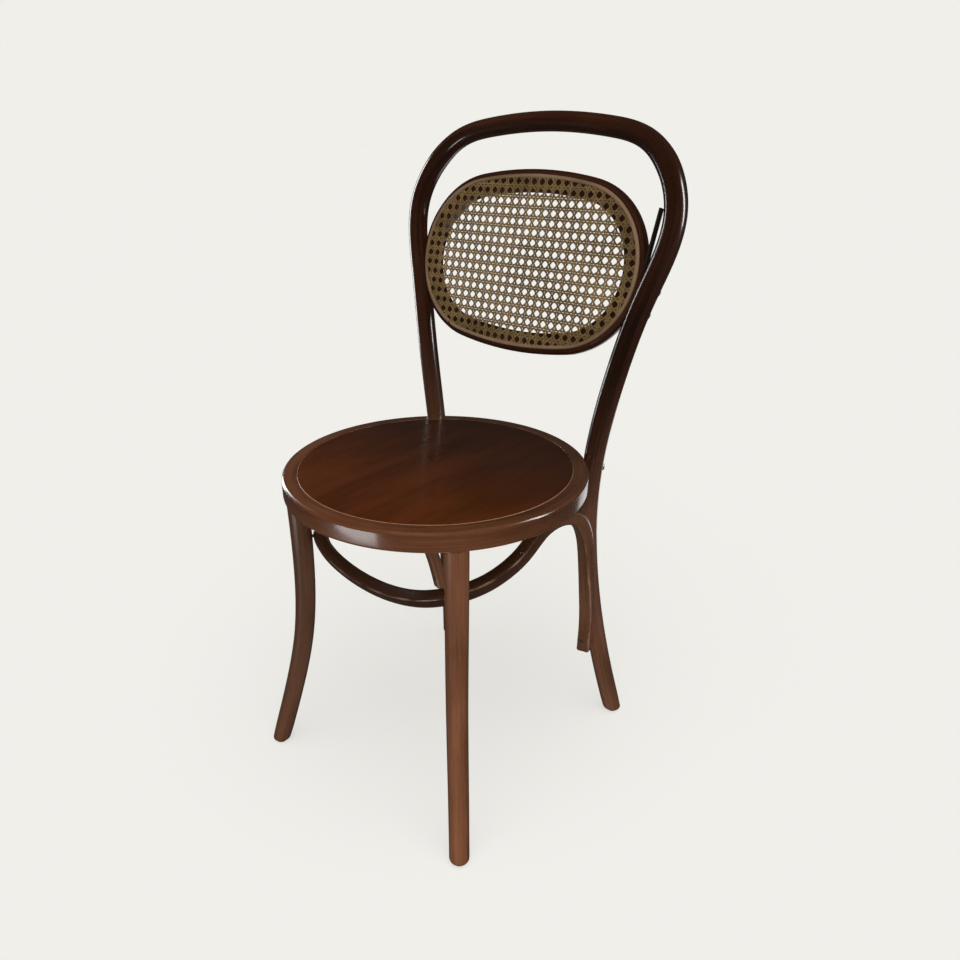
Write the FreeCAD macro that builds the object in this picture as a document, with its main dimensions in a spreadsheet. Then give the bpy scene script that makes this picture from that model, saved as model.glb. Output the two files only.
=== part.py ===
"""Bentwood bistro chair: hairpin back with an oval caned back, round seat, bent under-seat hoop.

Millimetres, +Z up. The chair faces -Y, so its own left is +X. The origin is on the floor,
at the middle of the box that holds the chair.
"""
import FreeCAD, Part
import Sketcher
import math
import os
from FreeCAD import Matrix, Placement, Rotation, Vector

UP = Vector(0, 0, 1)
SIDES = {"left": 1, "right": -1}
# An edge counts as lying at a height when it is this near, in mm
EDGE_SLACK = 0.05
# Stretches of a bent piece's line that only climb or only fall, as shares of its run
WHOLE_RUN = (0.0, 1.0)
FOOT_END = (0.0, 0.2)
LOOP_RISE = (0.0, 0.45)
HOOP_TAIL = (0.7, 1.0)

# Driving dimensions

SIZES = {
    # whole chair
    "seat_setback": 23.9,
    # round seat frame and the panel let into it
    "seat_diameter": 405.0,
    "seat_top_height": 460.0,
    "ring_depth": 27.0,
    "ring_width": 38.0,
    "ring_top_round": 5.0,
    "ring_base_round": 4.0,
    "panel_diameter": 365.4,
    "panel_thickness": 5.0,
    "panel_rebate_play": 0.4,
    "panel_edge_round": 1.2,
    # front legs, each with a turned tenon glued into the seat frame
    "leg_top_radius": 15.2,
    "leg_foot_radius": 13.4,
    "tenon_radius": 11.0,
    "tenon_length": 20.0,
    # back loop, which is also the two rear legs
    "loop_radius": 14.0,
    "foot_round": 4.0,
    # bolts from the back loop into the seat frame
    "bolt_height": 441.0,
    "bolt_radius": 3.0,
    "bolt_seat_depth": 1.6,
    "bolt_head_radius": 5.8,
    "bolt_head_height": 3.6,
    "bolt_head_round": 3.0,
    "bolt_head_play": 0.5,
    "bolt_spare": 3.0,
    "washer_radius": 7.0,
    "washer_thickness": 1.6,
    "nut_across_flats": 10.0,
    "nut_height": 5.0,
    # square bent hoop under the seat
    "hoop_width": 19.0,
    "hoop_edge_round": 4.0,
    "hoop_front_tilt": 30.0,
    "hoop_guide_steps": 120.0,
    "hoop_end_trim": 137.0,
    "hoop_end_round": 3.0,
    # small round-headed pin in the left rise of the hoop
    "pin_step": 43.0,
    "pin_offset": 5.0,
    "pin_head_radius": 1.9,
    "pin_head_height": 0.9,
    "pin_head_round": 0.7,
    "pin_radius": 1.0,
    "pin_length": 11.0,
    # how far a bore starts or ends outside the wood
    "bore_overrun": 5.0,
    # wood screws with countersunk heads
    "screw_head_radius": 4.6,
    "screw_head_height": 2.8,
    "screw_shank_radius": 2.2,
    "screw_rim": 0.5,
    "slot_width": 1.1,
    "slot_depth": 1.2,
    "hoop_screw_length": 34.0,
    "hoop_rear_screw_height": 160.5,
    "pilot_hole_depth": 16.0,
    "back_screw_length": 44.0,
    "back_screw_lower_height": 653.0,
    "back_screw_upper_height": 681.0,
    "back_screw_setback": 2.0,
    # oval back, in the plane of its own front face
    "oval_half_width": 182.3,
    "oval_half_height": 118.4,
    "oval_side_radius": 112.0,
    "oval_ring_width": 28.0,
    "oval_ring_depth": 18.0,
    "oval_outer_round": 6.8,
    "oval_inner_round": 3.0,
    "oval_centre_height": 697.0,
    "oval_centre_back": 183.0,
    "oval_recline": 13.5,
    # cane sheet and the reed pressed into its groove
    "reed_inset": 7.0,
    "reed_width": 5.0,
    "reed_proud": 1.6,
    "reed_crown_round": 1.4,
    "reed_groove_depth": 4.0,
    "cane_thickness": 1.4,
    "cane_pitch": 12.7,
    "cane_hole": 7.6,
    # thin packing strip between the oval ring and the left upright
    "packing_thickness": 2.6,
    "packing_width": 9.0,
    "packing_edge_round": 0.6,
    "packing_base_height": 684.0,
    "packing_top_height": 772.0,
    "packing_base_out": 178.6,
    "packing_top_out": 185.6,
    # feet
    "glide_radius": 9.0,
    "glide_height": 4.0,
    "glide_round": 2.5,
    "glide_nail_radius": 1.4,
    "glide_nail_length": 14.0,
}

# Stations along the bent pieces, as (out, back, up) from the floor under the seat's centre.
# Only the left half is given: the right half is its mirror image.
STATIONS = {
    "loop": [
        (176.2, 227.6, 0.0),
        (143.9, 185.1, 222.0),
        (143.6, 163.8, 445.0),
        (166.2, 170.0, 581.0),
        (188.5, 184.5, 673.0),
        (204.7, 207.9, 769.0),
        (145.7, 230.4, 847.2),
        (95.0, 234.3, 860.2),
        (0.0, 236.3, 866.9),
    ],
    "leg": [
        (184.1, -172.9, 0.0),
        (164.0, -150.0, 100.0),
        (148.0, -132.3, 200.0),
        (142.0, -124.5, 320.0),
        (142.6, -124.7, 434.0),
    ],
    "hoop": [
        (0.0, -121.0, 325.0),
        (60.0, -120.0, 332.0),
        (98.0, -116.0, 344.0),
        (124.0, -104.0, 354.0),
        (140.0, -80.0, 360.0),
        (152.0, -49.0, 370.0),
        (164.0, -21.0, 391.0),
        (176.0, 1.0, 420.0),
        (183.0, 27.0, 427.0),
        (186.0, 54.0, 418.0),
        (182.5, 84.0, 387.0),
        (173.0, 114.0, 325.0),
        (163.0, 139.0, 258.0),
        (154.0, 159.5, 195.0),
        (146.5, 171.0, 132.0),
    ],
}

doc = FreeCAD.newDocument("bistro_chair")
sheet = doc.addObject("Spreadsheet::Sheet", "sizes")


def fill_sheet():
    cells = dict(SIZES)
    for route, stations in STATIONS.items():
        for index, station in enumerate(stations):
            for axis, value in zip(("out", "back", "up"), station):
                cells[f"{route}_{axis}_{index}th"] = value
    for row, (alias, value) in enumerate(cells.items(), start=1):
        sheet.set(f"A{row}", alias)
        sheet.set(f"B{row}", str(value))
        sheet.setAlias(f"B{row}", alias)
    doc.recompute()


def size(alias):
    return float(sheet.get(alias))


def route(name):
    """The stations of one bent piece as points, in the chair's own frame."""
    points = []
    for index in range(len(STATIONS[name])):
        out, back, up = (size(f"{name}_{axis}_{index}th") for axis in ("out", "back", "up"))
        points.append(Vector(out, back - size("seat_setback"), up))
    return points


fill_sheet()
seat_centre = Vector(0, -size("seat_setback"), 0)
ring_base_height = size("seat_top_height") - size("ring_depth")

# Helpers for bodies with sketches


def origin_feature(body, role):
    return next(item for item in body.Origin.OriginFeatures if item.Role == role)


def new_body(label):
    body = doc.addObject("PartDesign::Body", label)
    body.Label = label
    return body


def new_sketch(body, role):
    sketch = body.newObject("Sketcher::SketchObject", "outline")
    sketch.AttachmentSupport = (origin_feature(body, role), [""])
    sketch.MapMode = "FlatFace"
    return sketch


def bind_point(sketch, geometry, end, x_rule, y_rule):
    """Ties one point of a sketch to two rules that are written in the sheet's names."""
    for kind, rule in (("DistanceX", x_rule), ("DistanceY", y_rule)):
        value = float(sketch.evalExpression(rule))
        index = sketch.addConstraint(Sketcher.Constraint(kind, -1, 1, geometry, end, value))
        sketch.setExpression(f"Constraints[{index}]", rule)


def draw_outline(sketch, corners):
    """Closed outline of straight lines through corners, each an (x rule, y rule) pair."""
    places = [
        Vector(float(sketch.evalExpression(x)), float(sketch.evalExpression(y)), 0)
        for x, y in corners
    ]
    count = len(corners)
    for index in range(count):
        end = places[(index + 1) % count]
        sketch.addGeometry(Part.LineSegment(places[index], end), False)
    for index in range(count):
        following = (index + 1) % count
        sketch.addConstraint(Sketcher.Constraint("Coincident", index, 2, following, 1))
    for index, (x_rule, y_rule) in enumerate(corners):
        bind_point(sketch, index, 1, x_rule, y_rule)


def draw_circle(sketch, radius_rule):
    radius = float(sketch.evalExpression(radius_rule))
    circle = sketch.addGeometry(Part.Circle(Vector(0, 0, 0), UP, radius), False)
    sketch.addConstraint(Sketcher.Constraint("Coincident", circle, 3, -1, 1))
    index = sketch.addConstraint(Sketcher.Constraint("Radius", circle, radius))
    sketch.setExpression(f"Constraints[{index}]", radius_rule)


def revolve(body, corners):
    """Turns an outline, drawn in the XZ plane, round the body's Z axis."""
    sketch = new_sketch(body, "XZ_Plane")
    draw_outline(sketch, corners)
    turned = body.newObject("PartDesign::Revolution", "turned")
    turned.Profile = sketch
    turned.ReferenceAxis = (origin_feature(body, "Z_Axis"), [""])
    turned.Angle = 360
    doc.recompute()
    return turned


def pad(body, sketch, length_rule):
    raised = body.newObject("PartDesign::Pad", "raised")
    raised.Profile = sketch
    raised.setExpression("Length", length_rule)
    doc.recompute()
    return raised


def rim_edges(feature, radius, height, slack=0.01):
    """Names of the whole-circle edges of one radius at one height of a turned piece."""
    names = []
    for index, edge in enumerate(feature.Shape.Edges, start=1):
        curve = edge.Curve
        if not isinstance(curve, Part.Circle):
            continue
        if abs(curve.Radius - radius) < slack and abs(curve.Center.z - height) < slack:
            names.append(f"Edge{index}")
    return names


def round_rim(body, feature, radius, height, round_rule):
    rounded = body.newObject("PartDesign::Fillet", "rounded")
    rounded.Base = (feature, rim_edges(feature, radius, height))
    rounded.setExpression("Radius", round_rule)
    doc.recompute()
    return rounded


def bore(body, name, start, direction, radius_rule, length_rule):
    """Cuts a round hole from start along direction, in the body's own frame."""
    hole = body.newObject("PartDesign::SubtractiveCylinder", name)
    hole.setExpression("Radius", radius_rule)
    hole.setExpression("Height", length_rule)
    hole.Placement = Placement(start, Rotation(UP, direction))
    doc.recompute()
    return hole


# Helpers for bent and lofted pieces


def add_piece(label, shape):
    feature = doc.addObject("Part::Feature", label)
    feature.Label = label
    feature.Shape = shape
    return feature


def mirrored(shape):
    return shape.mirror(Vector(0, 0, 0), Vector(1, 0, 0))


def curve_through(points, start_tangent=None, end_tangent=None):
    curve = Part.BSplineCurve()
    if start_tangent is None:
        curve.interpolate(points)
    else:
        curve.interpolate(Points=points, InitialTangent=start_tangent, FinalTangent=end_tangent)
    return curve


def circle_wire(centre, normal, radius):
    return Part.Wire(Part.makeCircle(radius, centre, normal))


def sweep(curve, sections):
    return Part.Wire(curve.toShape()).makePipeShell(sections, True, False)


def one_solid(shape):
    """The largest solid of a shape, without the crumbs that a cut can leave."""
    return Part.Solid(max(shape.Solids, key=lambda solid: solid.Volume))


def rod(start, direction, radius, length):
    return Part.makeCylinder(radius, length, start, direction)


def below(height):
    """A block that holds everything up to one height, for cutting feet level."""
    reach = size("seat_diameter") * 2
    return Part.makeBox(reach, reach, reach, Vector(-reach / 2, -reach / 2, height - reach))


def above(height):
    reach = size("seat_diameter") * 2
    return Part.makeBox(reach, reach, reach, Vector(-reach / 2, -reach / 2, height))


def level_foot(shape):
    """Cuts a leg level just above its glide and rounds the edge of the cut."""
    trimmed = shape.cut(below(size("glide_height")))
    ends = [
        edge
        for edge in trimmed.Edges
        if edge.BoundBox.ZMax < size("glide_height") + EDGE_SLACK
    ]
    return trimmed.makeFillet(size("foot_round"), ends)


# Lines that the fastenings follow

loop_points = route("loop")
leg_points = route("leg")
hoop_points = route("hoop")


def whole_loop_curve():
    return curve_through(loop_points + [Vector(-p.x, p.y, p.z) for p in loop_points[-2::-1]])


def half_hoop_curve():
    last = hoop_points[-1] - hoop_points[-2]
    return curve_through(hoop_points, Vector(1, 0, 0), last.normalize())


def point_at_height(curve, height, stretch):
    """Where a curve passes one height, on a stretch of it that climbs or falls steadily."""
    span = curve.LastParameter - curve.FirstParameter
    low = curve.FirstParameter + stretch[0] * span
    high = curve.FirstParameter + stretch[1] * span
    rising = curve.value(high).z > curve.value(low).z
    for _ in range(60):
        middle = (low + high) / 2
        if (curve.value(middle).z < height) == rising:
            low = middle
        else:
            high = middle
    return curve.value(low), curve.tangent(low)[0]


loop_curve = whole_loop_curve()
hoop_curve = half_hoop_curve()
loop_seat_point = point_at_height(loop_curve, size("bolt_height"), LOOP_RISE)[0]
bolt_outward = Vector(loop_seat_point.x, loop_seat_point.y - seat_centre.y, 0).normalize()
bolt_seat = loop_seat_point + bolt_outward * (size("loop_radius") - size("bolt_seat_depth"))
ring_inner_radius = size("seat_diameter") / 2 - size("ring_width")
nut_face = seat_centre + Vector(0, 0, size("bolt_height")) + bolt_outward * ring_inner_radius


def bent_frames(curve, count, lean):
    """Points at even steps along a bent rod, each with the turn of the rod's section there.

    The section starts with a lean and is turned on by each bend, but never twisted.
    """
    run = curve.LastParameter - curve.FirstParameter
    heading = curve.tangent(curve.FirstParameter)[0]
    turn = Rotation(heading, lean)
    frames = []
    for step in range(count + 1):
        parameter = curve.FirstParameter + step / count * run
        direction = curve.tangent(parameter)[0]
        turn = Rotation(heading, direction).multiply(turn)
        heading = direction
        frames.append((curve.value(parameter), turn))
    return frames


hoop_frames = bent_frames(hoop_curve, int(size("hoop_guide_steps")), size("hoop_front_tilt"))
pin_point, pin_turn = hoop_frames[int(size("pin_step"))]
pin_outward = pin_turn.multVec(UP)
pin_seat = pin_point + pin_turn.multVec(Vector(0, -size("pin_offset"), size("hoop_width") / 2))


def hoop_station(index):
    """A station of the hoop, as its parameter on the curve, its point and its direction."""
    parameter = hoop_curve.parameter(hoop_points[index])
    return hoop_curve.value(parameter), hoop_curve.tangent(parameter)[0]


def hoop_fixings():
    """Each left-hand hoop screw as (head centre, direction that it is driven in)."""
    half = size("hoop_width") / 2
    crest = hoop_station(8)[0]
    beside_leg = hoop_station(3)[0]
    towards_leg = point_on_leg(beside_leg.z) - beside_leg
    towards_leg.z = 0
    towards_leg.normalize()
    low_end = point_at_height(hoop_curve, size("hoop_rear_screw_height"), HOOP_TAIL)[0]
    return {
        "front": (beside_leg - towards_leg * half, towards_leg),
        "ring": (crest - UP * half, UP),
        "rear": (low_end - Vector(0, half, 0), Vector(0, 1, 0)),
    }


def point_on_leg(height):
    curve = curve_through(leg_points)
    return point_at_height(curve, height, WHOLE_RUN)[0]


# Oval back: a frame on the front face of its ring, with x out, y up the slope and z forward


def oval_frame():
    slope = math.radians(size("oval_recline"))
    along = Vector(0, math.sin(slope), math.cos(slope))
    forward = Vector(0, -math.cos(slope), math.sin(slope))
    centre = Vector(0, size("oval_centre_back") - size("seat_setback"), size("oval_centre_height"))
    axes = Matrix(
        1, along.x, forward.x, centre.x,
        0, along.y, forward.y, centre.y,
        0, along.z, forward.z, centre.z,
        0, 0, 0, 1,
    )
    return Placement(axes)


def oval_arcs():
    """Centre and radius of the side arc and of the top arc, and the angle where they meet."""
    side = size("oval_side_radius")
    side_x = size("oval_half_width") - side
    rise = size("oval_half_height")
    top = (side_x**2 + rise**2 - side**2) / (2 * (rise - side))
    top_y = rise - top
    return side_x, side, top_y, top, math.atan2(-top_y, side_x)


def oval_wire(inset, height=0.0):
    """Four tangent arcs, two at the sides and one at top and bottom, all drawn in by inset."""
    side_x, side, top_y, top, turn = oval_arcs()
    arcs = []
    for centre, radius, first, last in (
        (Vector(side_x, 0, height), side, -turn, turn),
        (Vector(0, top_y, height), top, turn, math.pi - turn),
        (Vector(-side_x, 0, height), side, math.pi - turn, math.pi + turn),
        (Vector(0, -top_y, height), top, math.pi + turn, 2 * math.pi - turn),
    ):
        circle = Part.Circle(centre, UP, radius - inset)
        arcs.append(Part.ArcOfCircle(circle, first, last).toShape())
    return Part.Wire(arcs)


def oval_slab(inset, low, high):
    """The oval's outline, drawn in by inset, as a slab between two heights of its frame."""
    return Part.Face(oval_wire(inset, low)).extrude(Vector(0, 0, high - low))


def oval_band(outer_inset, inner_inset, low, high):
    return oval_slab(outer_inset, low, high).cut(oval_slab(inner_inset, low - 1, high + 1))


def oval_rims(shape, inset, height, slack=0.01):
    """Edges of a shape that follow the oval's outline, drawn in by inset, at one height."""
    radii = [size("oval_side_radius") - inset, oval_arcs()[3] - inset]
    rims = []
    for edge in shape.Edges:
        curve = edge.Curve
        if not isinstance(curve, Part.Circle) or abs(curve.Center.z - height) > slack:
            continue
        if any(abs(curve.Radius - radius) < slack for radius in radii):
            rims.append(edge)
    return rims


def oval_ring_blank():
    """The bent ring before its groove and holes: half round outside, flat in front."""
    depth = size("oval_ring_depth")
    width = size("oval_ring_width")
    slab = oval_slab(0, -depth, 0)
    slab = slab.makeFillet(size("oval_outer_round"), oval_rims(slab, 0, 0) + oval_rims(slab, 0, -depth))
    ring = slab.cut(oval_slab(width, -depth - 1, 1))
    return ring.makeFillet(size("oval_inner_round"), oval_rims(ring, width, -depth))


oval_place = oval_frame()


def placed_on_oval(shape):
    moved = shape.copy()
    moved.Placement = oval_place.multiply(moved.Placement)
    return moved


def back_fixings():
    """Left-hand screws through the upright into the oval ring: (head centre, direction)."""
    fixings = {}
    for name in ("lower", "upper"):
        height = size(f"back_screw_{name}_height")
        point, direction = point_at_height(loop_curve, height, LOOP_RISE)
        point = point + Vector(0, size("back_screw_setback"), 0)
        inward = Vector(-1, 0, 0)
        inward = (inward - direction * inward.dot(direction)).normalize()
        fixings[name] = (point - inward * (size("loop_radius") - size("screw_rim")), inward)
    return fixings


# Wood screw: the space it fills, and the same shape with a slot


def screw_shape(head, direction, length):
    """Countersunk screw whose head lies flush at head and whose point lies along direction."""
    head_radius = size("screw_head_radius")
    shank = size("screw_shank_radius")
    rim = size("screw_rim")
    cone = rim + size("screw_head_height")
    tip = length - 2 * shank
    outline = [
        Vector(0, 0, 0),
        Vector(head_radius, 0, 0),
        Vector(head_radius, 0, rim),
        Vector(shank, 0, cone),
        Vector(shank, 0, tip),
        Vector(0, 0, length),
        Vector(0, 0, 0),
    ]
    solid = Part.Face(Part.makePolygon(outline)).revolve(Vector(0, 0, 0), UP, 360)
    solid.Placement = Placement(head, Rotation(UP, direction))
    return solid


def slotted(solid, head, direction):
    width = size("slot_width")
    reach = size("screw_head_radius") * 2 + 2
    slot = Part.makeBox(reach, width, size("slot_depth") + 1, Vector(-reach / 2, -width / 2, -1))
    slot.Placement = Placement(head, Rotation(UP, direction))
    return solid.cut(slot)


hoop_screws = {
    name: (head, way, screw_shape(head, way, size("hoop_screw_length")))
    for name, (head, way) in hoop_fixings().items()
}
back_screws = {
    name: (head, way, screw_shape(head, way, size("back_screw_length")))
    for name, (head, way) in back_fixings().items()
}

# Seat frame: one bent rail, with a rebate for the panel, sockets for the front legs, and bolt holes


def drill_seat_frame(body):
    socket = Vector(leg_points[-1].x, leg_points[-1].y - seat_centre.y, ring_base_height)
    crest = hoop_screws["ring"][0]
    pilot = Vector(crest.x, crest.y - seat_centre.y, ring_base_height - 1)
    bolt_start_radius = ring_inner_radius - size("bore_overrun")
    bolt_start = Vector(0, 0, size("bolt_height")) + bolt_outward * bolt_start_radius
    bolt_bore_rule = "sizes.ring_width + 2 * sizes.bore_overrun"
    cuts = [
        ("socket", socket, UP, "sizes.tenon_radius", "sizes.tenon_length"),
        ("bolt_hole", bolt_start, bolt_outward, "sizes.bolt_radius", bolt_bore_rule),
        ("pilot_hole", pilot, UP, "sizes.screw_shank_radius", "sizes.pilot_hole_depth"),
    ]
    for name, start, direction, radius_rule, length_rule in cuts:
        for side, sign in SIDES.items():
            place = Vector(sign * start.x, start.y, start.z)
            way = Vector(sign * direction.x, direction.y, direction.z)
            bore(body, f"{name}_{side}", place, way, radius_rule, length_rule)


def make_seat_frame():
    body = new_body("seat_frame")
    outer = "sizes.seat_diameter / 2"
    inner = "sizes.seat_diameter / 2 - sizes.ring_width"
    lip = "sizes.panel_diameter / 2 + sizes.panel_rebate_play"
    base = "sizes.seat_top_height - sizes.ring_depth"
    top = "sizes.seat_top_height"
    ledge = "sizes.seat_top_height - sizes.panel_thickness"
    corners = [(inner, base), (outer, base), (outer, top), (lip, top), (lip, ledge), (inner, ledge)]
    feature = revolve(body, corners)
    radius = size("seat_diameter") / 2
    feature = round_rim(body, feature, radius, size("seat_top_height"), "sizes.ring_top_round")
    feature = round_rim(body, feature, radius, ring_base_height, "sizes.ring_base_round")
    drill_seat_frame(body)
    body.Placement = Placement(seat_centre, Rotation())
    return body


def make_seat_panel():
    body = new_body("seat_panel")
    sketch = new_sketch(body, "XY_Plane")
    draw_circle(sketch, "sizes.panel_diameter / 2")
    raised = pad(body, sketch, "sizes.panel_thickness")
    radius = size("panel_diameter") / 2
    round_rim(body, raised, radius, size("panel_thickness"), "sizes.panel_edge_round")
    height = size("seat_top_height") - size("panel_thickness")
    body.Placement = Placement(seat_centre + UP * height, Rotation())
    return body


# Back loop: one round rod, bent into both rear legs, both uprights and the top bow


def make_back_loop():
    start = loop_points[0]
    curve = whole_loop_curve()
    section = circle_wire(start, curve.tangent(curve.FirstParameter)[0], size("loop_radius"))
    shape = level_foot(sweep(curve, [section]))
    seat_rail = rod(seat_centre + UP * ring_base_height, UP, size("seat_diameter") / 2, size("ring_depth"))
    cuts = [seat_rail, placed_on_oval(oval_ring_blank())]
    reach = size("loop_radius") * 2
    for sign in SIDES.values():
        way = Vector(sign * bolt_outward.x, bolt_outward.y, 0)
        seat = Vector(sign * bolt_seat.x, bolt_seat.y, bolt_seat.z)
        cuts.append(rod(seat, way, size("bolt_head_radius") + size("bolt_head_play"), reach))
        cuts.append(rod(seat - way * reach * 2, way, size("bolt_radius"), reach * 3))
    for head, way, solid in list(back_screws.values()) + [hoop_screws["rear"]]:
        cuts += [solid, mirrored(solid)]
        if way.x < 0:
            sink = rod(head, way * -1, size("screw_head_radius"), reach)
            cuts += [sink, mirrored(sink)]
    for glide in glide_places("loop"):
        cuts.append(rod(glide, UP, size("glide_nail_radius"), size("glide_nail_length")))
    return add_piece("back_loop", one_solid(shape.cut(cuts)))


def glide_places(name):
    """Centres of the flat foot undersides of one pair of legs, on top of their glides."""
    curve = curve_through(route(name))
    foot = point_at_height(curve, size("glide_height"), FOOT_END)[0]
    return [Vector(foot.x, foot.y, foot.z), Vector(-foot.x, foot.y, foot.z)]


# Front legs: straight at the top and swept out at the foot, thinner downwards


def make_front_legs():
    curve = curve_through(leg_points)
    foot = circle_wire(leg_points[0], curve.tangent(curve.FirstParameter)[0], size("leg_foot_radius"))
    top = circle_wire(leg_points[-1], curve.tangent(curve.LastParameter)[0], size("leg_top_radius"))
    shape = level_foot(sweep(curve, [foot, top])).cut(above(ring_base_height))
    socket = Vector(leg_points[-1].x, leg_points[-1].y, ring_base_height - 2)
    shape = shape.fuse(rod(socket, UP, size("tenon_radius"), size("tenon_length") + 2))
    glide = glide_places("leg")[0]
    nail = rod(glide, UP, size("glide_nail_radius"), size("glide_nail_length"))
    shape = one_solid(shape.cut([nail, hoop_screws["front"][2]]))
    for side, sign in SIDES.items():
        add_piece(f"front_leg_{side}", shape if sign > 0 else mirrored(shape))


# Under-seat hoop: one square rod, dipping between the front legs, rising to the seat frame at
# each side and running down the front of each rear leg


def hoop_outline():
    """Rounded square across the rod at the middle of its front bend."""
    half = size("hoop_width") / 2
    box = Part.makeBox(1, 2 * half, 2 * half, Vector(-0.5, -half, -half))
    rims = [edge for edge in box.Edges if abs(edge.Vertexes[0].X - edge.Vertexes[-1].X) > 0.5]
    outline = box.makeFillet(size("hoop_edge_round"), rims).slice(Vector(1, 0, 0), 0)[0]
    point, turn = hoop_frames[0]
    outline.Placement = Placement(point, turn).multiply(outline.Placement)
    return outline


def make_hoop():
    """One bent rod, housed over the legs that it is screwed to."""
    trim = size("hoop_end_trim")
    beside = Vector(0, 0, size("hoop_width"))
    guide = curve_through([point + turn.multVec(beside) for point, turn in hoop_frames])
    pipe = Part.BRepOffsetAPI.MakePipeShell(Part.Wire(hoop_curve.toShape()))
    pipe.setAuxiliarySpine(Part.Wire(guide.toShape()), False, 0)
    pipe.add(hoop_outline())
    pipe.build()
    pipe.makeSolid()
    half = pipe.shape().cut([below(trim), above(ring_base_height)])
    ends = [edge for edge in half.Edges if edge.BoundBox.ZMax < trim + EDGE_SLACK]
    half = half.makeFillet(size("hoop_end_round"), ends)
    cuts = [doc.getObject(name).Shape for name in ("front_leg_left", "front_leg_right", "back_loop")]
    for _, _, solid in hoop_screws.values():
        cuts += [solid, mirrored(solid)]
    above_pin = pin_seat + pin_outward * size("bore_overrun")
    pin_bore = size("bore_overrun") + size("pin_length")
    cuts.append(rod(above_pin, pin_outward * -1, size("pin_radius"), pin_bore))
    return add_piece("under_seat_hoop", one_solid(half.fuse(mirrored(half)).cut(cuts)))


def make_pin():
    body = new_body("hoop_pin")
    corners = [
        ("0", "-sizes.pin_length"),
        ("sizes.pin_radius", "-sizes.pin_length"),
        ("sizes.pin_radius", "0"),
        ("sizes.pin_head_radius", "0"),
        ("sizes.pin_head_radius", "sizes.pin_head_height"),
        ("0", "sizes.pin_head_height"),
    ]
    turned = revolve(body, corners)
    head = size("pin_head_height")
    round_rim(body, turned, size("pin_head_radius"), head, "sizes.pin_head_round")
    body.Placement = Placement(pin_seat, Rotation(UP, pin_outward))


# Oval back: bent ring, cane sheet with its open holes, and the reed that holds the cane


def make_oval_ring():
    reed_outer = size("reed_inset")
    groove = oval_band(reed_outer, reed_outer + size("reed_width"), -size("reed_groove_depth"), 1)
    ring = placed_on_oval(oval_ring_blank().cut(groove))
    cuts = []
    for _, _, solid in back_screws.values():
        cuts += [solid, mirrored(solid)]
    return add_piece("back_oval_ring", one_solid(ring.cut(cuts)))


def make_reed():
    reed_outer = size("reed_inset")
    low = -size("reed_groove_depth")
    reed = oval_band(reed_outer, reed_outer + size("reed_width"), low, size("reed_proud"))
    crown = [edge for edge in reed.Edges if edge.BoundBox.ZMin > size("reed_proud") - EDGE_SLACK]
    reed = reed.makeFillet(size("reed_crown_round"), crown)
    return add_piece("cane_reed", one_solid(placed_on_oval(reed)))


def make_cane():
    """Flat sheet with a square grid of eight-sided holes over the ring's opening."""
    pitch = size("cane_pitch")
    reach = size("cane_hole") / 2
    edge_inset = size("reed_inset") + size("reed_width")
    sheet_face = Part.Face(oval_wire(edge_inset))
    opening = Part.Face(oval_wire(size("oval_ring_width") + reach / 2))
    columns = int(size("oval_half_width") / pitch) + 1
    rows = int(size("oval_half_height") / pitch) + 1
    holes = []
    for column in range(-columns, columns + 1):
        for row in range(-rows, rows + 1):
            centre = Vector(column * pitch, row * pitch, 0)
            if opening.isInside(centre, 0.01, True):
                corners = [
                    centre + Vector(reach * math.cos(a), reach * math.sin(a), 0)
                    for a in (math.pi / 8 + n * math.pi / 4 for n in range(8))
                ]
                holes.append(Part.makePolygon(corners + [corners[0]]))
    print("cane holes", len(holes))
    face = Part.Face([sheet_face.OuterWire] + holes, "Part::FaceMakerBullseye")
    solid = face.extrude(Vector(0, 0, size("cane_thickness")))
    return add_piece("cane_sheet", one_solid(placed_on_oval(solid)))


def make_packing(loop, oval_ring):
    """Thin strip wedged between the oval ring and the left upright, standing clear at its top."""
    low = Vector(size("packing_base_out"), 0, size("packing_base_height"))
    high = Vector(size("packing_top_out"), 0, size("packing_top_height"))
    width = size("packing_width")
    thickness = size("packing_thickness")
    for point in (low, high):
        point.y = point_at_height(loop_curve, point.z, LOOP_RISE)[0].y
    run = high - low
    strip = Part.makeBox(thickness, width, run.Length, Vector(-thickness / 2, -width / 2, 0))
    rims = [edge for edge in strip.Edges if edge.Length > width + 1]
    strip = strip.makeFillet(size("packing_edge_round"), rims)
    strip.Placement = Placement(low, Rotation(UP, run))
    add_piece("back_packing", one_solid(strip.cut([loop.Shape, oval_ring.Shape])))


# Fastenings


def turned_along(seat, direction):
    return Placement(seat, Rotation(UP, direction))


def make_seat_bolts():
    """Domed bolt, washer and nut on each side, from the back loop through the seat frame."""
    grip = (bolt_seat - nut_face).dot(bolt_outward)
    nut_stack = size("washer_thickness") + size("nut_height") + size("bolt_spare")
    for side, sign in SIDES.items():
        way = Vector(sign * bolt_outward.x, bolt_outward.y, 0)
        seat = Vector(sign * bolt_seat.x, bolt_seat.y, bolt_seat.z)
        face = Vector(sign * nut_face.x, nut_face.y, nut_face.z)
        bolt = new_body(f"seat_bolt_{side}")
        shank = f"-{grip + nut_stack}"
        corners = [
            ("0", shank),
            ("sizes.bolt_radius", shank),
            ("sizes.bolt_radius", "0"),
            ("sizes.bolt_head_radius", "0"),
            ("sizes.bolt_head_radius", "sizes.bolt_head_height"),
            ("0", "sizes.bolt_head_height"),
        ]
        turned = revolve(bolt, corners)
        rim = size("bolt_head_radius")
        round_rim(bolt, turned, rim, size("bolt_head_height"), "sizes.bolt_head_round")
        bolt.Placement = turned_along(seat, way)
        make_washer(f"seat_washer_{side}", face, way * -1)
        make_nut(f"seat_nut_{side}", face - way * size("washer_thickness"), way * -1)


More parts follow.
